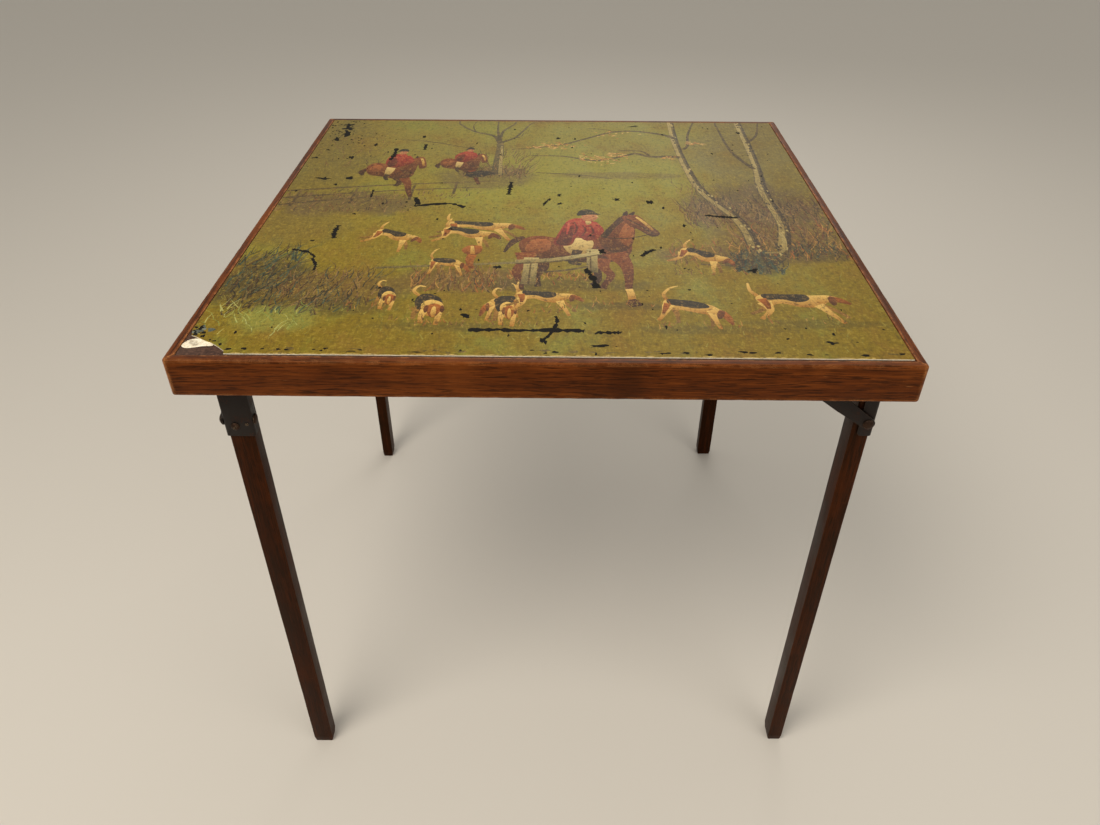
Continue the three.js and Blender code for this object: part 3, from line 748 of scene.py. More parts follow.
def standing_horse(picture, box):
    """A bay horse that stands side on with its head up, and its rider in a red coat."""
    d = Drawing(picture, box, (100, 136))
    d.limb(BAY_DARK, (9, 92, 3), (3, 88, 3), (-1, 80, 2), (-4, 70, 0.8))
    d.limb(BAY_DARK, (60, 64, 5), (56, 48, 3), (56, 34, 2.2), (52, 26, 2.4))
    d.limb(BAY_DARK, (18, 66, 6), (22, 50, 3.6), (18, 38, 2.4), (19, 24, 2))
    d.patch(BAY, (5, 80), (9, 91), (18, 95), (32, 92), (48, 94), (62, 96), (76, 90), (80, 78),
            (74, 62), (58, 56), (40, 59), (24, 60), (12, 60))
    d.patch(BAY_LIGHT, (10, 80), (16, 90), (25, 88), (26, 76), (18, 68), (11, 70))
    d.patch(BAY_DARK, (28, 66), (44, 64), (60, 60), (70, 64), (58, 56), (42, 57), (28, 60))
    d.limb(BAY, (10, 70, 7), (10, 56, 5), (5, 44, 3), (8, 30, 2.2), (8, 20, 2.6))
    d.limb(BAY, (68, 70, 8), (74, 54, 4.6), (75, 38, 3), (74, 22, 2.2), (75, 10, 2.2))
    d.limb(WHITE, (74, 22, 2.3), (75, 15, 2.3), (75, 9, 2.4))
    d.limb(BAY_DARK, (74, 9, 3.2), (76, 4, 4), (77, 1, 4))
    d.limb(BAY, (60, 62, 5.4), (60, 50, 3.6), (64, 39, 2.8), (60, 28, 2), (58, 22, 2.6))
    d.patch(BAY, (58, 92), (66, 108), (74, 124), (82, 129), (86, 122), (84, 108), (82, 90),
            (76, 74), (64, 72))
    d.patch(BAY_LIGHT, (72, 92), (75, 108), (80, 118), (83, 108), (81, 92), (77, 80))
    d.patch(BAY_DARK, (60, 96), (67, 112), (74, 126), (79, 130), (77, 121), (70, 108), (64, 94))
    d.patch(BAY, (76, 126), (82, 131), (88, 128), (94, 114), (100, 102), (98, 96), (93, 96),
            (86, 106), (80, 112))
    d.limb(WHITE, (86, 127, 1), (91, 117, 1.3), (96, 105, 1.1))
    d.limb(BAY_DARK, (78, 129, 1.8), (79, 133, 1.6), (80, 137, 0.4))
    d.limb(BAY_DARK, (82, 130, 1.8), (84, 133, 1.5), (85, 136, 0.4))
    d.limb(BOOT, (79, 124, 0.6), (88, 112, 0.6), (95, 100, 0.6))
    d.limb(BOOT, (94, 99, 0.5), (78, 92, 0.5), (62, 93, 0.5))
    d.patch(BREECHES, (34, 86), (44, 92), (54, 88), (53, 76), (46, 68), (38, 70))
    d.limb(BOOT, (44, 74, 3.4), (42, 64, 3), (40, 56, 2.4), (46, 54, 1.6))
    d.patch(COAT, (28, 84), (33, 106), (38, 120), (46, 124), (55, 120), (59, 106), (58, 92),
            (50, 88), (44, 94), (40, 82), (33, 80))
    d.patch(COAT_DARK, (30, 84), (36, 104), (42, 112), (41, 96), (38, 82))
    d.limb(COAT, (54, 117, 3.6), (59, 104, 3.4), (54, 94, 2.8), (50, 90, 2.2))
    for fold in (((53, 112, 0.8), (55, 102, 0.8), (51, 94, 0.6)),
                 ((42, 118, 0.5), (44, 108, 0.8), (42, 98, 0.5)),
                 ((34, 104, 0.6), (33, 94, 0.9), (30, 86, 0.5)),
                 ((48, 112, 0.6), (50, 104, 0.7), (47, 95, 0.4))):
        d.limb(COAT_DARK, *fold)
    d.limb((COAT[1], srgb(196, 84, 66, 0.95)), (39, 117, 0.9), (38, 108, 0.9), (37, 98, 0.5))
    d.patch(BREECHES, (50, 120), (53, 121), (54, 116), (51, 113))
    d.patch(SKIN, (48, 121), (48, 130), (54, 132), (58, 130), (59, 126), (57, 121), (53, 119))
    d.limb(BOOT, (55, 127.6, 0.6), (56.6, 127.4, 0.6))
    d.limb(COAT_DARK, (55.4, 123, 0.4), (57.4, 123.2, 0.4))
    d.limb(BREECHES, (58, 128, 0.4), (59.6, 125.6, 0.7))
    d.patch(BLACK, (45, 128), (45, 134), (49, 139), (55, 138), (58, 133), (61, 130), (53, 130))


def distant_rider(picture, box, leaning):
    """A horse that comes over the fence with its rider, far off."""
    d = Drawing(picture, box, (100, 200))
    d.limb(BAY_DARK, (8, 110, 4), (2, 96, 5), (6, 84, 2))
    d.limb(BAY_DARK, (52, 84, 8), (66, 62, 5), (62, 44, 3.4))
    d.limb(BAY, (66, 84, 9), (78, 56, 6), (84, 26, 4), (90, 6, 3.4))
    d.patch(BAY, (6, 116), (18, 134), (44, 126), (66, 118), (82, 98), (78, 78), (56, 72),
            (34, 80), (14, 88))
    d.patch(BAY_LIGHT, (12, 114), (22, 126), (32, 116), (26, 100), (14, 102))
    d.patch(BAY, (58, 112), (66, 138), (76, 156), (88, 160), (94, 144), (98, 118), (88, 112),
            (84, 128), (82, 96), (70, 90))
    d.limb(WHITE, (86, 154, 2), (90, 140, 2), (93, 124, 1.6))
    d.limb(BAY_DARK, (78, 156, 2.4), (78, 165, 1))
    d.patch(BREECHES, (38, 118), (50, 122), (50, 100), (44, 84), (38, 90))
    d.limb(BOOT, (43, 88, 4), (42, 76, 3.4), (46, 66, 2.4))
    shift = 6 if leaning else 0
    d.patch(COAT, (34, 124), (32, 150), (40 + shift, 170), (56 + shift, 174), (66 + shift, 156),
            (68, 132), (54, 116), (42, 116))
    d.patch(COAT_DARK, (36, 124), (36, 146), (44 + shift, 158), (50, 136), (46, 120))
    d.limb(COAT, (62 + shift, 164, 4.5), (72, 144, 4), (64, 128, 3.4))
    d.patch(SKIN, (48 + shift, 172), (49 + shift, 186), (58 + shift, 186), (60 + shift, 178),
            (55 + shift, 171))
    d.limb(BOOT, (56 + shift, 180, 0.8), (58 + shift, 180, 0.8))
    d.patch(BLACK, (44 + shift, 182), (48 + shift, 194), (58 + shift, 194), (61 + shift, 184),
            (52 + shift, 184))


BARK = inks(0.92, (70, 58, 34), (104, 92, 58))
BARK_LIGHT = inks(0.92, (140, 120, 66), (176, 156, 96))
BARK_DARK = inks(0.9, (44, 34, 22), (60, 50, 32))
TWIG = inks(0.92, (66, 52, 28), (84, 70, 38))
FENCE = inks(0.9, (66, 50, 28), (98, 80, 46))
STRAW = inks(0.9, (140, 104, 48), (170, 124, 58), (112, 74, 32), (92, 56, 26), (150, 84, 34))
GRASS = (inks(0.55, (120, 112, 40), (96, 92, 34))
         + inks(0.5, (152, 146, 66), (132, 118, 48)))
SCRUB = (inks(0.9, (84, 62, 36), (108, 80, 46), (56, 44, 28))
         + inks(0.85, (136, 106, 62), (96, 58, 30)))
DARK_SCRUB = (inks(0.9, (42, 38, 24), (30, 44, 38), (66, 48, 28))
              + inks(0.85, (46, 70, 58), (84, 78, 46)))
LEAVES = inks(0.95, (190, 138, 62), (168, 104, 42)) + inks(0.9, (214, 172, 100))
PALE_GRASS = inks(0.7, (150, 158, 80), (176, 178, 104), (122, 138, 66))

# Each box of blades: its two corners, count, height, colours, lean, spread and width.
TUFTS = (
    (-355, -350, 355, 355, 620, 8, GRASS, 0, 0.5, 0.6),
    (-355, -350, 355, -60, 380, 11, GRASS, 0, 0.6, 0.7),
    (-362, -20, -190, 40, 150, 16, SCRUB, 0.1, 0.5, 0.7),
    (-362, 25, -90, 60, 90, 12, SCRUB, 0.1, 0.5, 0.7),
    (-362, -250, -290, -140, 130, 34, DARK_SCRUB, 0.2, 0.5, 1.0),
    (-300, -280, -190, -190, 170, 30, SCRUB + DARK_SCRUB, 0.1, 0.5, 0.7),
    (-345, -290, -240, -240, 60, 24, DARK_SCRUB, 0.1, 0.5, 1.1),
    (-155, -235, -50, -185, 150, 30, STRAW + SCRUB, 0, 0.4, 0.7),
    (-45, -205, 60, -190, 90, 14, STRAW, 0, 0.6, 0.7),
    (150, -170, 235, -105, 70, 22, STRAW, 0, 0.5, 0.7),
    (180, -60, 362, 10, 300, 44, SCRUB, 0, 0.45, 0.8),
    (230, -150, 362, -60, 240, 34, SCRUB + STRAW, 0, 0.5, 0.8),
    (218, -186, 275, -135, 130, 26, DARK_SCRUB, 0.1, 0.5, 1.1),
    (280, -150, 350, -110, 60, 22, DARK_SCRUB, 0, 0.6, 0.7),
    (-130, 105, -30, 130, 120, 46, SCRUB, 0.1, 0.6, 0.6),
    (-362, 130, -250, 330, 60, 18, SCRUB, 0, 0.5, 0.6),
    (-356, -330, -250, -262, 46, 18, PALE_GRASS, -0.3, 0.8, 0.6))


def paint_ground(p):
    """Strokes of grass over the whole field, then the hedges and the undergrowth."""
    for tuft in TUFTS:
        p.tuft(*tuft)


def paint_fences(p):
    """The far fence on the left with its posts, and the rails near the middle."""
    for start, end, bow in (((-362, 54), (-75, 96), 4), ((-362, 30), (-80, 74), 5),
                            ((-362, 6), (-200, 42), 3)):
        middle = ((start[0] + end[0]) / 2, (start[1] + end[1]) / 2 + bow)
        p.ribbon([(*start, 2.4), (*middle, 1.9), (*end, 1.2)], *FENCE)
    for x, low, high in ((-345, 2, 60), (-268, 12, 66), (-190, 24, 78), (-132, 48, 92)):
        p.ribbon([(x, low, 2.2), (x + 1, high, 1.7)], *FENCE)
    p.ribbon([(-200, -176, 2.6), (-120, -168, 2.6), (-40, -160, 2.8), (40, -146, 3),
              (58, -134, 2.4)], *inks(0.9, (96, 84, 46), (152, 136, 82)))
    p.ribbon([(180, -160, 1.8), (232, -164, 1.4)], *FENCE)


def paint_trees(p):
    """A bare tree at the back, two birches on the right, branches and last leaves."""
    p.ribbon([(-76, 118, 9), (-78, 170, 7), (-78, 230, 5.6), (-80, 262, 5)], *BARK)
    p.ribbon([(-72, 120, 3), (-74, 180, 2.4), (-76, 240, 1.6)], *BARK_LIGHT)
    forks = (((-80, 255, 4), (-92, 290, 3), (-122, 308, 2.4), (-150, 345, 1.8), (-152, 362, 1.4)),
             ((-80, 262, 3), (-78, 310, 2.2), (-62, 345, 1.8), (-58, 362, 1.2)),
             ((-80, 262, 3), (-86, 310, 2), (-88, 362, 1.2)),
             ((-78, 258, 3.4), (-58, 280, 2.4), (-46, 312, 2), (-34, 350, 1.4), (-24, 362, 1)),
             ((-58, 280, 1.6), (-48, 286, 1.2), (-44, 304, 0.7)),
             ((-122, 308, 1.4), (-128, 336, 1), (-124, 362, 0.6)))
    for fork in forks:
        p.ribbon(fork, *BARK)
    for _ in range(60):
        x, y = random.uniform(-125, -30), random.uniform(130, 200)
        p.blade(x, y, (x + 76) * 0.35, random.uniform(20, 60), 0.6, random.choice(SCRUB))
    trunk = [(252, -108, 9), (250, -60, 8.5), (240, -14, 8), (222, 30, 7.5), (208, 80, 7),
             (202, 140, 6.4), (198, 200, 6), (196, 280, 6), (198, 362, 5.6)]
    other = [(286, -118, 10), (300, -50, 8), (298, 20, 7.6), (297, 80, 8.5), (304, 150, 6.6),
             (308, 240, 6.2), (310, 362, 6)]
    for line in (trunk, other):
        p.ribbon(line, *BARK)
        p.ribbon([(x - 2.6, y, w * 0.46) for x, y, w in line], *BARK_LIGHT)
        p.ribbon([(x + w * 0.7, y, w * 0.24) for x, y, w in line], *BARK_DARK)
        for _ in range(46):
            x, y, w = random.choice(line)
            p.dab(x + random.uniform(-w, w) * 0.7, y + random.uniform(-20, 20), 1.6, 3.4,
                  random.choice((BARK_DARK[1], BARK_LIGHT[1])))
    p.ribbon([(262, -128, 1.6), (284, -124, 2), (292, -96, 3), (292, -70, 2)], *BARK_LIGHT)
    branches = (((196, 196, 4), (186, 200, 3.4), (150, 200, 3), (130, 212, 2.6), (110, 200, 2.4),
                 (84, 186, 2.2), (60, 182, 2), (20, 198, 1.6), (-30, 200, 1)),
                ((198, 282, 3.4), (180, 300, 3), (140, 316, 2.4), (100, 312, 2.2),
                 (60, 282, 2), (20, 252, 1.7), (-20, 236, 1.2), (-60, 226, 0.7)),
                ((150, 200, 2), (140, 222, 1.4), (104, 226, 0.9)),
                ((205, 232, 2.4), (214, 250, 1.8), (220, 300, 1.6), (236, 362, 1)),
                ((300, 150, 3), (286, 190, 2.4), (276, 240, 1.8), (272, 362, 1.2)),
                ((308, 262, 2.4), (330, 300, 1.7), (344, 362, 1)),
                ((100, 312, 1.2), (92, 322, 0.9), (60, 330, 0.5)),
                ((-20, 130, 1), (40, 122, 1), (90, 108, 0.6)),
                ((-170, 252, 1.2), (-200, 262, 1), (-240, 268, 0.6)),
                ((-170, 252, 1), (-130, 234, 0.8), (-118, 240, 0.5)))
    for branch in branches:
        p.ribbon([(x, y, w * 1.25) for x, y, w in branch], *TWIG)
    for cx, cy, spread, count in ((72, 188, 30, 60), (10, 246, 26, 50), (-20, 236, 16, 20),
                                  (100, 206, 16, 26), (176, 196, 10, 16), (222, 260, 12, 24),
                                  (90, 300, 30, 18)):
        for _ in range(count):
            x, y = random.gauss(cx, spread * 0.5), random.gauss(cy, spread * 0.28)
            p.blade(x, y, random.uniform(-9, 9), random.uniform(-3, 5), 1.5,
                    random.choice(LEAVES))
    for _ in range(90):
        x, y = random.uniform(180, 362), random.uniform(-60, 70)
        p.blade(x, y, random.uniform(-10, 10), random.uniform(24, 60), 0.5,
                random.choice(SCRUB))


def paint_figures(p):
    """The riders and hounds, the stile in front of them, and grass round their feet."""
    distant_rider(p, (-275, 30, -180, 230), leaning=False)
    distant_rider(p, (-168, 78, -92, 238), leaning=True)
    p.blob([(-122, 118), (-112, 132), (-96, 136), (-80, 128), (-90, 116), (-108, 108)], *BLACK)
    running_hound(p, (-228, -128, -152, -56), tilt=-28)
    running_hound(p, (-140, -98, -28, -24), tilt=-8)
    running_hound(p, (-144, -122, -56, -44), head=EAR, tilt=-20)
    nosing_hound(p, (-142, -196, -90, -122), tilt=4)
    p.blob([(-104, -128), (-98, -116), (-88, -114), (-80, -118), (-80, -132), (-88, -142),
            (-96, -140)], *TAN)
    p.ribbon([(-92, -116, 2), (-91, -126, 2.4), (-90, -138, 3)], *WHITE)
    p.ribbon([(-90, -140, 6), (-92, -156, 5), (-88, -176, 2.4)], *TAN)
    standing_horse(p, (-45, -264, 140, -8))
    paint_stile(p)
    facing_hound(p, (-192, -276, -160, -206))
    facing_hound(p, (-152, -306, -102, -218))
    nosing_hound(p, (-72, -296, -28, -210), flip=True)
    facing_hound(p, (-62, -308, -26, -222))
    running_hound(p, (-42, -282, 42, -210), tilt=-10)
    nosing_hound(p, (118, -306, 206, -216), tilt=-8)
    running_hound(p, (218, -296, 332, -206), tilt=-4)
    running_hound(p, (146, -180, 226, -104), tilt=-34)
    for _ in range(260):
        x, y = random.choice(((-176, -272), (-128, -302), (-46, -304), (10, -274), (162, -304),
                              (276, -292), (92, -258), (190, -182), (-20, -210)))
        p.blade(x + random.uniform(-44, 44), y + random.uniform(-6, 8), random.uniform(-5, 5),
                random.uniform(5, 13), 0.6, random.choice(GRASS + STRAW))


def paint_stile(p):
    """A low rail on two posts, between the rider and the viewer."""
    grey = inks(0.96, (92, 78, 40), (184, 164, 104))
    p.ribbon([(-21, -214, 9), (-20, -180, 8), (-19, -146, 9)], *grey)
    p.ribbon([(-21, -212, 1.2), (-20, -180, 1), (-19, -150, 1)], *FENCE)
    p.ribbon([(52, -184, 7), (53, -150, 6.4), (54, -122, 7)], *grey)
    p.ribbon([(50, -182, 1.2), (51, -150, 1), (51, -126, 1)], *FENCE)
    p.ribbon([(-38, -157, 4.6), (10, -151, 5), (64, -131, 4.4)],
             *inks(0.96, (120, 104, 58), (190, 172, 114)))
    p.ribbon([(-38, -162, 1.2), (10, -156, 1.4), (64, -136, 1.2)], *FENCE)
    p.ribbon([(-8, -184, 2), (22, -178, 2), (48, -168, 1.6)], *FENCE)


def scratch(p, width, breaks, points):
    """A ragged black line where the print is worn through. breaks is the chance of a gap."""
    line = curve(points, steps=max(4, int(40 / len(points))))
    run = []
    for x, y in line:
        if run and random.random() < breaks:
            if len(run) > 2:
                p.ribbon(run, CHIP, steps=1)
            run = []
            continue
        run.append((x, y + random.uniform(-0.6, 0.6), width * random.uniform(0.4, 1.8)))
    if len(run) > 2:
        p.ribbon(run, CHIP, steps=1)


# Each scratch: half width, chance of a gap, and the points that it runs through.
SCRATCHES = (
    (2.6, 0, (-80, -314), (-50, -313), (-20, -314), (10, -313), (40, -314)),
    (1.5, 0.05, (-78, -312), (-30, -315), (36, -311)), (2.2, 0, (52, -317), (78, -317)),
    (1.6, 0, (-2, -334), (6, -318), (12, -296), (10, -284)),
    (2.6, 0, (-182, 34), (-176, 14), (-178, 6), (-150, 12), (-130, 13), (-112, 2)),
    (2.6, 0, (-54, 94), (-55, 70), (-56, 46)), (2.8, 0, (-238, 228), (-237, 200), (-240, 176)),
    (2.4, 0, (-195, 248), (-194, 222)), (2.4, 0, (-267, -58), (-268, -80), (-265, -98)),
    (2.0, 0, (-308, -130), (-288, -136), (-276, -150)),
    (1.6, 0, (-279, -152), (-271, -170), (-270, -184)),
    (3.0, 0, (44, -174), (52, -196), (56, -222)), (2.2, 0, (206, -18), (226, -23), (246, -25)),
    (2.0, 0, (112, -140), (124, -126), (130, -122)), (1.6, 0, (-8, 10), (-4, 22), (2, 34)),
    (2.2, 0, (14, 50), (13, 42)), (1.6, 0, (-244, 60), (-243, 34)))

# Each large chip: its middle, and its reach each way.
CHIPS = ((92, 33, 6, 4), (137, 24, 4, 6), (15, 17, 4.5, 3), (-322, 100, 9, 6),
         (-286, 103, 4, 5), (-300, 78, 3, 3), (-340, 268, 5, 9), (-334, 338, 8, 10),
         (-330, 320, 9, 6), (-328, 296, 6, 14), (-272, 243, 2.4, 7), (-300, 186, 3, 6),
         (-354, 184, 4, 3), (-202, 282, 2.2, 5), (12, 280, 3.5, 4), (38, 277, 2, 4),
         (136, 341, 7, 3.5), (303, 312, 3, 4), (290, -334, 5, 3), (-85, -286, 4, 6),
         (-2, -334, 3, 6), (54, -343, 8, 2.6), (240, -176, 6, 4), (66, -128, 4, 5),
         (-58, -172, 4, 5), (118, -130, 3, 4), (174, -50, 2.4, 4), (-124, -68, 3.4, 2.6),
         (-255, -22, 3, 2.6), (-290, -104, 2.4, 2.4))
CREAM = inks(0.97, (170, 140, 70), (214, 190, 122))
DULL_PRINT = inks(0.9, (62, 82, 84), (112, 122, 112))


def paint_wear(p):
    """The scratches, the chips large and small, and the frayed front edge and torn corner."""
    for width, breaks, *points in SCRATCHES:
        scratch(p, width, breaks, points)
    for x, y, rx, ry in CHIPS:
        p.dab(x, y, rx, ry, CHIP, ragged=0.6, count=13)
    for _ in range(150):
        x, y = random.uniform(-350, 350), random.uniform(-345, 350)
        size = random.uniform(0.5, 1.7)
        p.dab(x, y, size, size * random.uniform(0.7, 2.4), CHIP, ragged=0.5, count=7)
    for _ in range(60):
        x, y = random.uniform(-360, -300), random.gauss(290, 50)
        p.dab(x, min(y, 356), random.uniform(0.6, 2.2), random.uniform(0.8, 3.2), CHIP,
              ragged=0.5, count=7)
    for _ in range(30):
        x, y = random.gauss(-90, 55), random.uniform(-2, 2)
        p.dab(x, y, 1.2, 0.6, CHIP, count=7)
    for _ in range(46):
        x = random.uniform(-300, 355)
        p.dab(x, random.uniform(-358, -352), random.uniform(1, 5), random.uniform(0.8, 2.2),
              random.choice((CHIP, srgb(96, 80, 34, 0.9))), ragged=0.5, count=8)
    x = -312.0
    while x < 356:
        run = random.uniform(4, 26)
        deep = random.uniform(0.5, 2.2)
        p.add([(x, -p.reach), (x + run, -p.reach), (x + run * 0.9, -p.reach + deep * 0.6),
               (x + run * 0.5, -p.reach + deep), (x + run * 0.1, -p.reach + deep * 0.7)], *CREAM)
        x += run + random.choice((0.0, 0.0, 2.0, 6.0))
    for x, y in TORN[:-1]:
        p.dab(x + 3, y + 3, random.uniform(1, 3), random.uniform(1, 3), CHIP, ragged=0.5)
    for _ in range(16):
        p.dab(random.gauss(-354, 4), random.gauss(-318, 7), random.uniform(1.5, 4),
              random.uniform(1.5, 5), random.choice((CHIP, *DULL_PRINT)), ragged=0.5)


def printed_surface(reach):
    """The whole picture, out to a reach each way from the table's middle."""
    random.seed(1908)
    picture = Picture(reach)
    paint_ground(picture)
    paint_fences(picture)
    paint_trees(picture)
    paint_figures(picture)
    paint_wear(picture)
    return picture


def shapes_near(shapes, cell):
    """The shapes that reach into each square cell of the picture, in the order drawn, each
    with its lowest and highest y."""
    grid = {}
    for shape, bottom, top in shapes:
        xs, ys = zip(*shape)
        entry = (shape, bottom, top, min(ys), max(ys))
        for i in range(int(min(xs) // cell), int(max(xs) // cell) + 1):
            for j in range(int(min(ys) // cell), int(max(ys) // cell) + 1):
                grid.setdefault((i, j), []).append(entry)
    return grid


def cut_sheet(outline, picture):
    """Points and faces of the flat sheet, cut along its outline and every painted shape, with
    a loose net of points between them."""
    points, edges = [], []

    def add_loop(loop):
        start = len(points)
        points.extend(Vector(point) for point in loop)
        edges.extend((start + i, start + (i + 1) % len(loop)) for i in range(len(loop)))

    add_loop(outline)
    step, stray = 12, 3
    spread = int(2 * SHEET / step)
    for i in range(1, spread):
        for j in range(1, spread):
            points.append(Vector((-SHEET + i * step + random.uniform(-stray, stray),
                                  -SHEET + j * step + random.uniform(-stray, stray))))
    for shape, _, _ in picture.shapes:
        add_loop(shape)
    flat, _, faces, *_ = delaunay_2d_cdt(points, edges, [], 0, 1e-4, False)
    return flat, faces


def sheet_mesh():
    """The printed sheet: the topmost painted shape gives each face its colour, which is kept
    in "ink", and the cut edge shows the cream core."""
    bare_rim, cell = 0.4, 15
    low, high = sheet_low.z, sheet_high.z
    outline = TORN + [(SHEET, -SHEET), (SHEET, SHEET), (-SHEET, SHEET)]
    picture = printed_surface(SHEET - bare_rim)
    flat, faces = cut_sheet(outline, picture)
    near = shapes_near(picture.shapes, cell)

    bm = bmesh.new()
    ink = bm.loops.layers.float_color.new("ink")
    made = {}

    def vertex(index):
        if index not in made:
            x, y = flat[index]
            made[index] = bm.verts.new((x * MM, y * MM, high))
        return made[index]

    for face in faces:
        corners = [flat[i] for i in face]
        x, y = (sum(values) / len(corners) for values in zip(*corners))
        if not in_outline(outline, x, y):
            continue
        drawn = bm.faces.new([vertex(i) for i in face])
        for shape, bottom, top, y0, y1 in reversed(near.get((int(x // cell), int(y // cell)), [])):
            if in_outline(shape, x, y):
                for loop, corner in zip(drawn.loops, corners):
                    share = (corner[1] - y0) / max(y1 - y0, 1e-6)
                    loop[ink] = blend_colour(bottom, top, min(1, max(0, share)))
                break
        else:
            for loop in drawn.loops:
                loop[ink] = (0.0, 0.0, 0.0, 0.0)
    bm.normal_update()
    if sum(face.normal.z for face in bm.faces) < 0:
        bmesh.ops.reverse_faces(bm, faces=bm.faces)

    rim_edges = [edge for edge in bm.edges if edge.is_boundary]
    walls = bmesh.ops.extrude_edge_only(bm, edges=rim_edges)["geom"]
    for made_piece in walls:
        if isinstance(made_piece, bmesh.types.BMVert):
            made_piece.co.z = low
        elif isinstance(made_piece, bmesh.types.BMFace):
            made_piece.material_index = 1
    under = [edge for edge in bm.edges if edge.is_boundary]
    for face in bmesh.ops.contextual_create(bm, geom=under)["faces"]:
        face.material_index = 1
    bmesh.ops.recalc_face_normals(bm, faces=bm.faces)
    return bm


# The painted field's patches of colour: middle, reach each way in millimetres, shade, amount.
GLOW, BROWN = srgb(142, 138, 44), srgb(104, 78, 36)
DUSK, FURROW = srgb(62, 52, 30), srgb(84, 72, 26)
FIELD_PATCHES = (
    (30, 110, 190, 130, GLOW, 0.7), (60, 300, 260, 70, GLOW, 0.4),
    (-360, 180, 110, 260, srgb(106, 88, 36), 0.7), (340, 200, 130, 260, srgb(108, 90, 42), 0.6),
    (-330, -60, 90, 60, srgb(110, 88, 40), 0.5), (-270, 10, 120, 42, srgb(100, 80, 46), 0.85),
    (-90, 110, 80, 46, srgb(104, 84, 46), 0.7), (100, 120, 110, 14, BROWN, 0.5),
    (280, 10, 110, 90, srgb(92, 72, 42), 0.85), (300, -100, 100, 60, BROWN, 0.85),
    (240, -150, 44, 36, DUSK, 0.85), (330, -130, 60, 26, DUSK, 0.5),
    (190, -135, 60, 26, BROWN, 0.7), (-330, -210, 66, 60, DUSK, 0.8),
    (-240, -225, 90, 40, BROWN, 0.8), (-250, -265, 90, 24, DUSK, 0.55),
    (-90, -205, 80, 34, BROWN, 0.85), (20, -215, 110, 18, DUSK, 0.5),
    (90, -262, 60, 12, DUSK, 0.5), (-285, -295, 50, 34, srgb(132, 138, 62), 0.6),
    (170, -310, 90, 10, FURROW, 0.5), (290, -296, 90, 10, FURROW, 0.5),
    (-110, -308, 90, 10, FURROW, 0.5))


def printed_field(name):
    """The varnished print: a painted field, the ink of the figures, and an embossed weave."""
    s = Surface(name)
    x, y, _ = (Value(s, axis) for axis in s.node("ShaderNodeSeparateXYZ", {0: s.place()}))
    drift = s.noise((7, 7, 7), detail=5, rough=0.6)
    depth = y.between(-sheet_high.x, sheet_high.x) + drift * 0.24
    colour = s.ramp(depth, (0.12, srgb(120, 99, 14)), (0.4, srgb(128, 108, 20)),
                    (0.7, srgb(136, 122, 34)), (1.0, srgb(132, 118, 46)))
    warm = s.noise((16, 10, 16), detail=6, rough=0.65)
    colour = s.mix(warm.between(0.5, 0.68, 0, 0.5), colour, srgb(128, 92, 36))
    colour = s.mix(warm.between(0.5, 0.34, 0, 0.45), colour, srgb(120, 128, 40))
    for cx, cy, rx, ry, shade, amount in FIELD_PATCHES:
        across = (x - cx * MM) * (1 / (rx * MM))
        along = (y - cy * MM) * (1 / (ry * MM))
        away = across * across + along * along + (warm - 0.5) * 2.6
        colour = s.mix(away.between(1.3, 0.25, 0, amount), colour, shade)

    strokes = s.noise((330, 120, 200), detail=5, rough=0.7, twist=0.8, turn=0.35)
    cross = s.noise((150, 330, 200), detail=5, rough=0.7, twist=0.8, turn=-0.5)
    dabs = (strokes + cross) * 0.5
    colour = s.mix(dabs.between(0.5, 0.62, 0, 0.5), colour, srgb(164, 142, 52))
    colour = s.mix(dabs.between(0.5, 0.37, 0, 0.7), colour, srgb(80, 66, 18))

    ink = s.node("ShaderNodeAttribute", attribute_name="ink")
    cover = Value(s, ink["Alpha"])
    figures = s.mix(dabs.between(0.5, 0.62, 0, 0.34), ink["Color"], srgb(196, 152, 78))
    figures = s.mix(dabs.between(0.5, 0.4, 0, 0.62), figures, srgb(42, 26, 10))
    chipped = cover.between(0.97, 0.99)
    figures = s.mix(chipped, figures, ink["Color"])
    colour = s.mix(cover, colour, figures)
    specks = s.noise((130, 130, 130), detail=5, rough=0.8)
    colour = s.mix(specks.between(0.69, 0.72, 0, 0.75), colour, srgb(24, 20, 10))
    crackle = s.node("ShaderNodeTexVoronoi", {
        "Vector": s.mapped((95, 62, 60), 0.2), "Randomness": 1.0}, feature="DISTANCE_TO_EDGE")
    cracks = Value(s, crackle["Distance"]).between(0.04, 0.0, 0, 0.22)
    colour = s.mix(cracks, colour, srgb(70, 56, 16))

    folds = s.noise((300, 95, 200), detail=3, twist=1.6, turn=0.15)
    weave = s.noise((1500, 700, 900), detail=2)
    height = folds * 0.7 + weave * 0.2 + dabs * 0.5 - cracks * 0.4 - chipped * 0.5
    roughness = warm.between(0.3, 0.7, 0.40, 0.50) + chipped * 0.3
    return s.finish(colour, roughness, height, 0.35 * MM, 0.7,
                    constants={"Specular IOR Level": 0.16})


# ---------- materials ----------
oak_colours = dict(dark=srgb(42, 17, 4), middle=srgb(88, 41, 11), light=srgb(118, 61, 20),
                   worn=srgb(182, 120, 70))
rail_wood = stained_wood("rail_wood", along=0, drawn=True, **oak_colours)
leg_wood = stained_wood("leg_wood", srgb(20, 7, 1), srgb(42, 15, 2), srgb(68, 29, 6),
                        srgb(118, 66, 28), along=2, wear=0.6, coat=0.01, rim=3 * MM)
board_face = fibre_board("board")
print_face = printed_field("printed_sheet")
paper_core = torn_paper("paper_core")
dark_steel = old_steel("dark_steel", srgb(26, 14, 7), srgb(64, 31, 12), srgb(130, 102, 76),
                       0.6, 0.5)
worn_steel = old_steel("worn_steel", srgb(58, 38, 24), srgb(80, 42, 18), srgb(166, 144, 116),
                       0.9, 0.75)

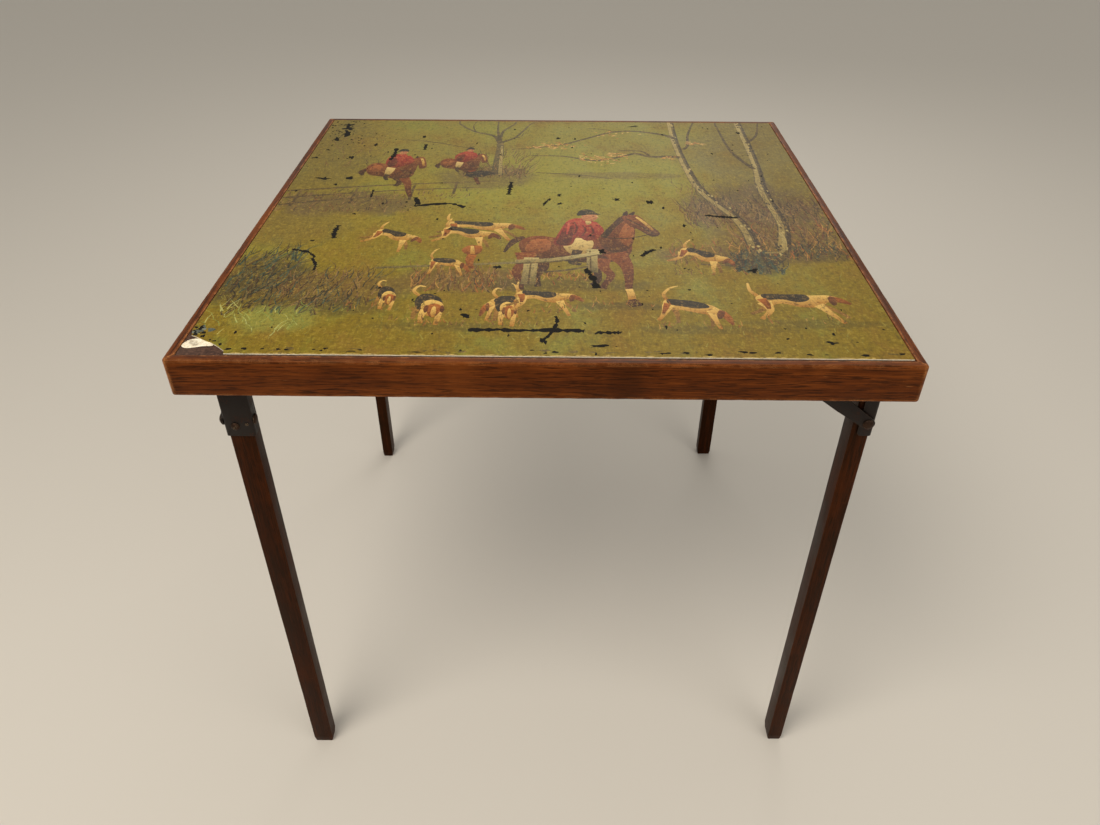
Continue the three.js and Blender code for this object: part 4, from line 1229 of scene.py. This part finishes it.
# ---------- pieces ----------
rail = rail_mesh()
for turn, side in enumerate(SIDES):
    add_piece(f"{side}_rail_wood", rail, [rail_wood], "table_top", [f"{side}_rail"],
              turn, keep_grain=True)

board = bmesh.new()
bmesh.ops.create_cube(board, size=1)
span = board_high - board_low
board.transform(Matrix.Translation((board_low + board_high) / 2) @ Matrix.Diagonal(
    (span.x, span.y, span.z, 1)))
add_piece("board_slab", soften(board, 0.5 * MM, 3), [board_face], "table_top", ["top_board"])
add_piece("printed_top", sheet_mesh(), [print_face, paper_core], "table_top",
          ["print_sheet"])


def flake_mesh():
    """The curled paper core left on the bare corner of the board, drawn in millimetres."""
    outline = [(-364, -347), (-361, -338), (-354, -334), (-346, -335), (-338, -341),
               (-333, -347), (-342, -348), (-352, -351), (-359, -351.6)]
    middle = Vector((-351, -342))
    bottom = board_high.z + 0.05 * MM
    loops = []
    for share, lift in ((1.0, 0.0), (1.02, 0.25), (0.9, 0.75), (0.6, 0.55), (0.25, 0.65)):
        loop = []
        for point in curve(outline, closed=True, steps=3):
            at = middle + (Vector(point) - middle) * share
            rough = noise.noise(Vector((at.x * 0.5, at.y * 0.5, share)))
            loop.append((at.x * MM, at.y * MM, bottom + lift * (1 + 0.4 * rough) * MM))
        loops.append(loop)
    return loft(loops)


add_piece("torn_flake", flake_mesh(), [paper_core], "table_top", [])

add_corners("leg", leg_mesh(), leg_wood, "leg_{}")
add_corners("leg_cap", leg_cap_mesh(), dark_steel, "leg_{}")
add_corners("brace", brace_mesh(), dark_steel, "brace_{}")
add_corners("pivot_rivet", rivet_mesh("pivot_rivet_fr", 3.0 * MM, 2.0 * MM), worn_steel,
            "table_top")
add_corners("brace_rivet", rivet_mesh("brace_rivet_fr", 2.4 * MM, 2.4 * MM), worn_steel,
            "leg_{}")
UP = Vector((0, 0, 1))
INWARD = Vector((0, 1, 0))
RIGHT = Vector((1, 0, 0))


def screw_in_box(node, along, head_depth, shank, slot_turn, shift=Vector((0, 0, 0))):
    """A screw that fills its CAD node's box, with its slot turned from upright."""
    low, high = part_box(node)
    middle, size = (low + high) / 2, high - low
    axis = max(range(3), key=lambda i: abs(along[i]))
    head = size[(axis + 1) % 3] / 2
    seat = middle + along * (size[axis] / 2 - head_depth) + shift
    slot_way = UP * math.cos(slot_turn) + UP.cross(along) * math.sin(slot_turn)
    return screw_mesh(seat, along, head, head_depth, shank, size[axis] - head_depth, slot_way)


far_screw_shift = RIGHT * 122 * MM
wood_head, wood_shank = 1.9 * MM, 1.7 * MM
for name, along, head, shank, slot_turn, body in (
        ("bracket_screw", INWARD, wood_head, wood_shank, 0.5, "table_top"),
        ("track_screw", INWARD, wood_head, wood_shank, 1.2, "table_top"),
        ("side_screw", -RIGHT, wood_head, wood_shank, -0.4, "table_top"),
        ("cap_screw", RIGHT, 2.2 * MM, 1.8 * MM, 0.9, "leg_{}"),
        ("cap_tack", RIGHT, 0.8 * MM, 0.8 * MM, 0.0, "leg_{}")):
    add_corners(name, screw_in_box(f"{name}_fr", along, head, shank, slot_turn), worn_steel,
                body)
add_corners("far_track_screw", screw_in_box("track_screw_fr", INWARD, wood_head, wood_shank,
                                            0.2, far_screw_shift),
            worn_steel, "table_top", replaced=False)

# The brackets, track plates and slide pins keep their CAD shapes.
for corner in CORNERS:
    for name, finish in (("corner_bracket", dark_steel), ("track_plate", dark_steel),
                         ("slide_pin", worn_steel)):
        for material_slot in frame["nodes"][f"{name}_{corner}"].material_slots:
            material_slot.material = finish

# ---------- camera, light and floor ----------
# The camera stands where the photo was taken from: turns are in degrees, the lens in mm.
CAMERA_PLACE, CAMERA_LENS = (0.01068, -1.06409, 1.13658), 27.666
CAMERA_TURNS = (-0.424, 36.471, 0.289)
yaw, pitch, roll = (math.radians(turn) for turn in CAMERA_TURNS)
forward = Vector((math.sin(yaw) * math.cos(pitch), math.cos(yaw) * math.cos(pitch),
                  -math.sin(pitch)))
level = Vector((math.cos(yaw), -math.sin(yaw), 0))
upright = level.cross(forward)
across = level * math.cos(roll) + upright * math.sin(roll)
up = upright * math.cos(roll) - level * math.sin(roll)
lens = bpy.data.cameras.new("camera")
lens.lens, lens.sensor_width = CAMERA_LENS, 36.0
camera = bpy.data.objects.new("camera", lens)
camera.matrix_world = Matrix.Translation(CAMERA_PLACE) @ Matrix(
    (across, up, -forward)).transposed().to_4x4()
bpy.context.scene.collection.objects.link(camera)
bpy.context.scene.camera = camera


def area_light(name, place, target, size, power, colour):
    light = bpy.data.lights.new(name, "AREA")
    light.shape, light.size, light.energy, light.color = "DISK", size, power, colour
    lamp = bpy.data.objects.new(name, light)
    lamp.location = place
    aim = Vector(target) - Vector(place)
    lamp.rotation_euler = aim.to_track_quat("-Z", "Y").to_euler()
    bpy.context.scene.collection.objects.link(lamp)


area_light("key", (-0.9, -1.3, 2.6), (0, 0, 0.5), 1.3, 42, (1.0, 0.93, 0.83))
area_light("fill", (1.6, -1.8, 1.8), (0, 0, 0.4), 2.0, 14, (1.0, 0.96, 0.90))
area_light("rim", (0.4, 2.2, 2.2), (0, 0, 0.5), 1.6, 12, (1.0, 0.96, 0.90))

world = bpy.data.worlds.new("studio")
world.use_nodes = True
sky = world.node_tree.nodes["Background"]
sky.inputs["Color"].default_value = srgb(234, 230, 222)
sky.inputs["Strength"].default_value = 0.55
bpy.context.scene.world = world

floor_look = Surface("floor")
floor_look.shader.inputs["Base Color"].default_value = srgb(214, 208, 198)
floor_look.shader.inputs["Roughness"].default_value = 0.75
floor_mesh = bpy.data.meshes.new("floor")
reach = 30.0
floor_mesh.from_pydata([(-reach, -reach, 0), (reach, -reach, 0), (reach, reach, 0),
                        (-reach, reach, 0)], [], [(0, 1, 2, 3)])
floor_mesh.materials.append(floor_look.material)
floor = bpy.data.objects.new("floor", floor_mesh)
bpy.context.scene.collection.objects.link(floor)
bpy.context.scene.view_settings.view_transform = "Standard"
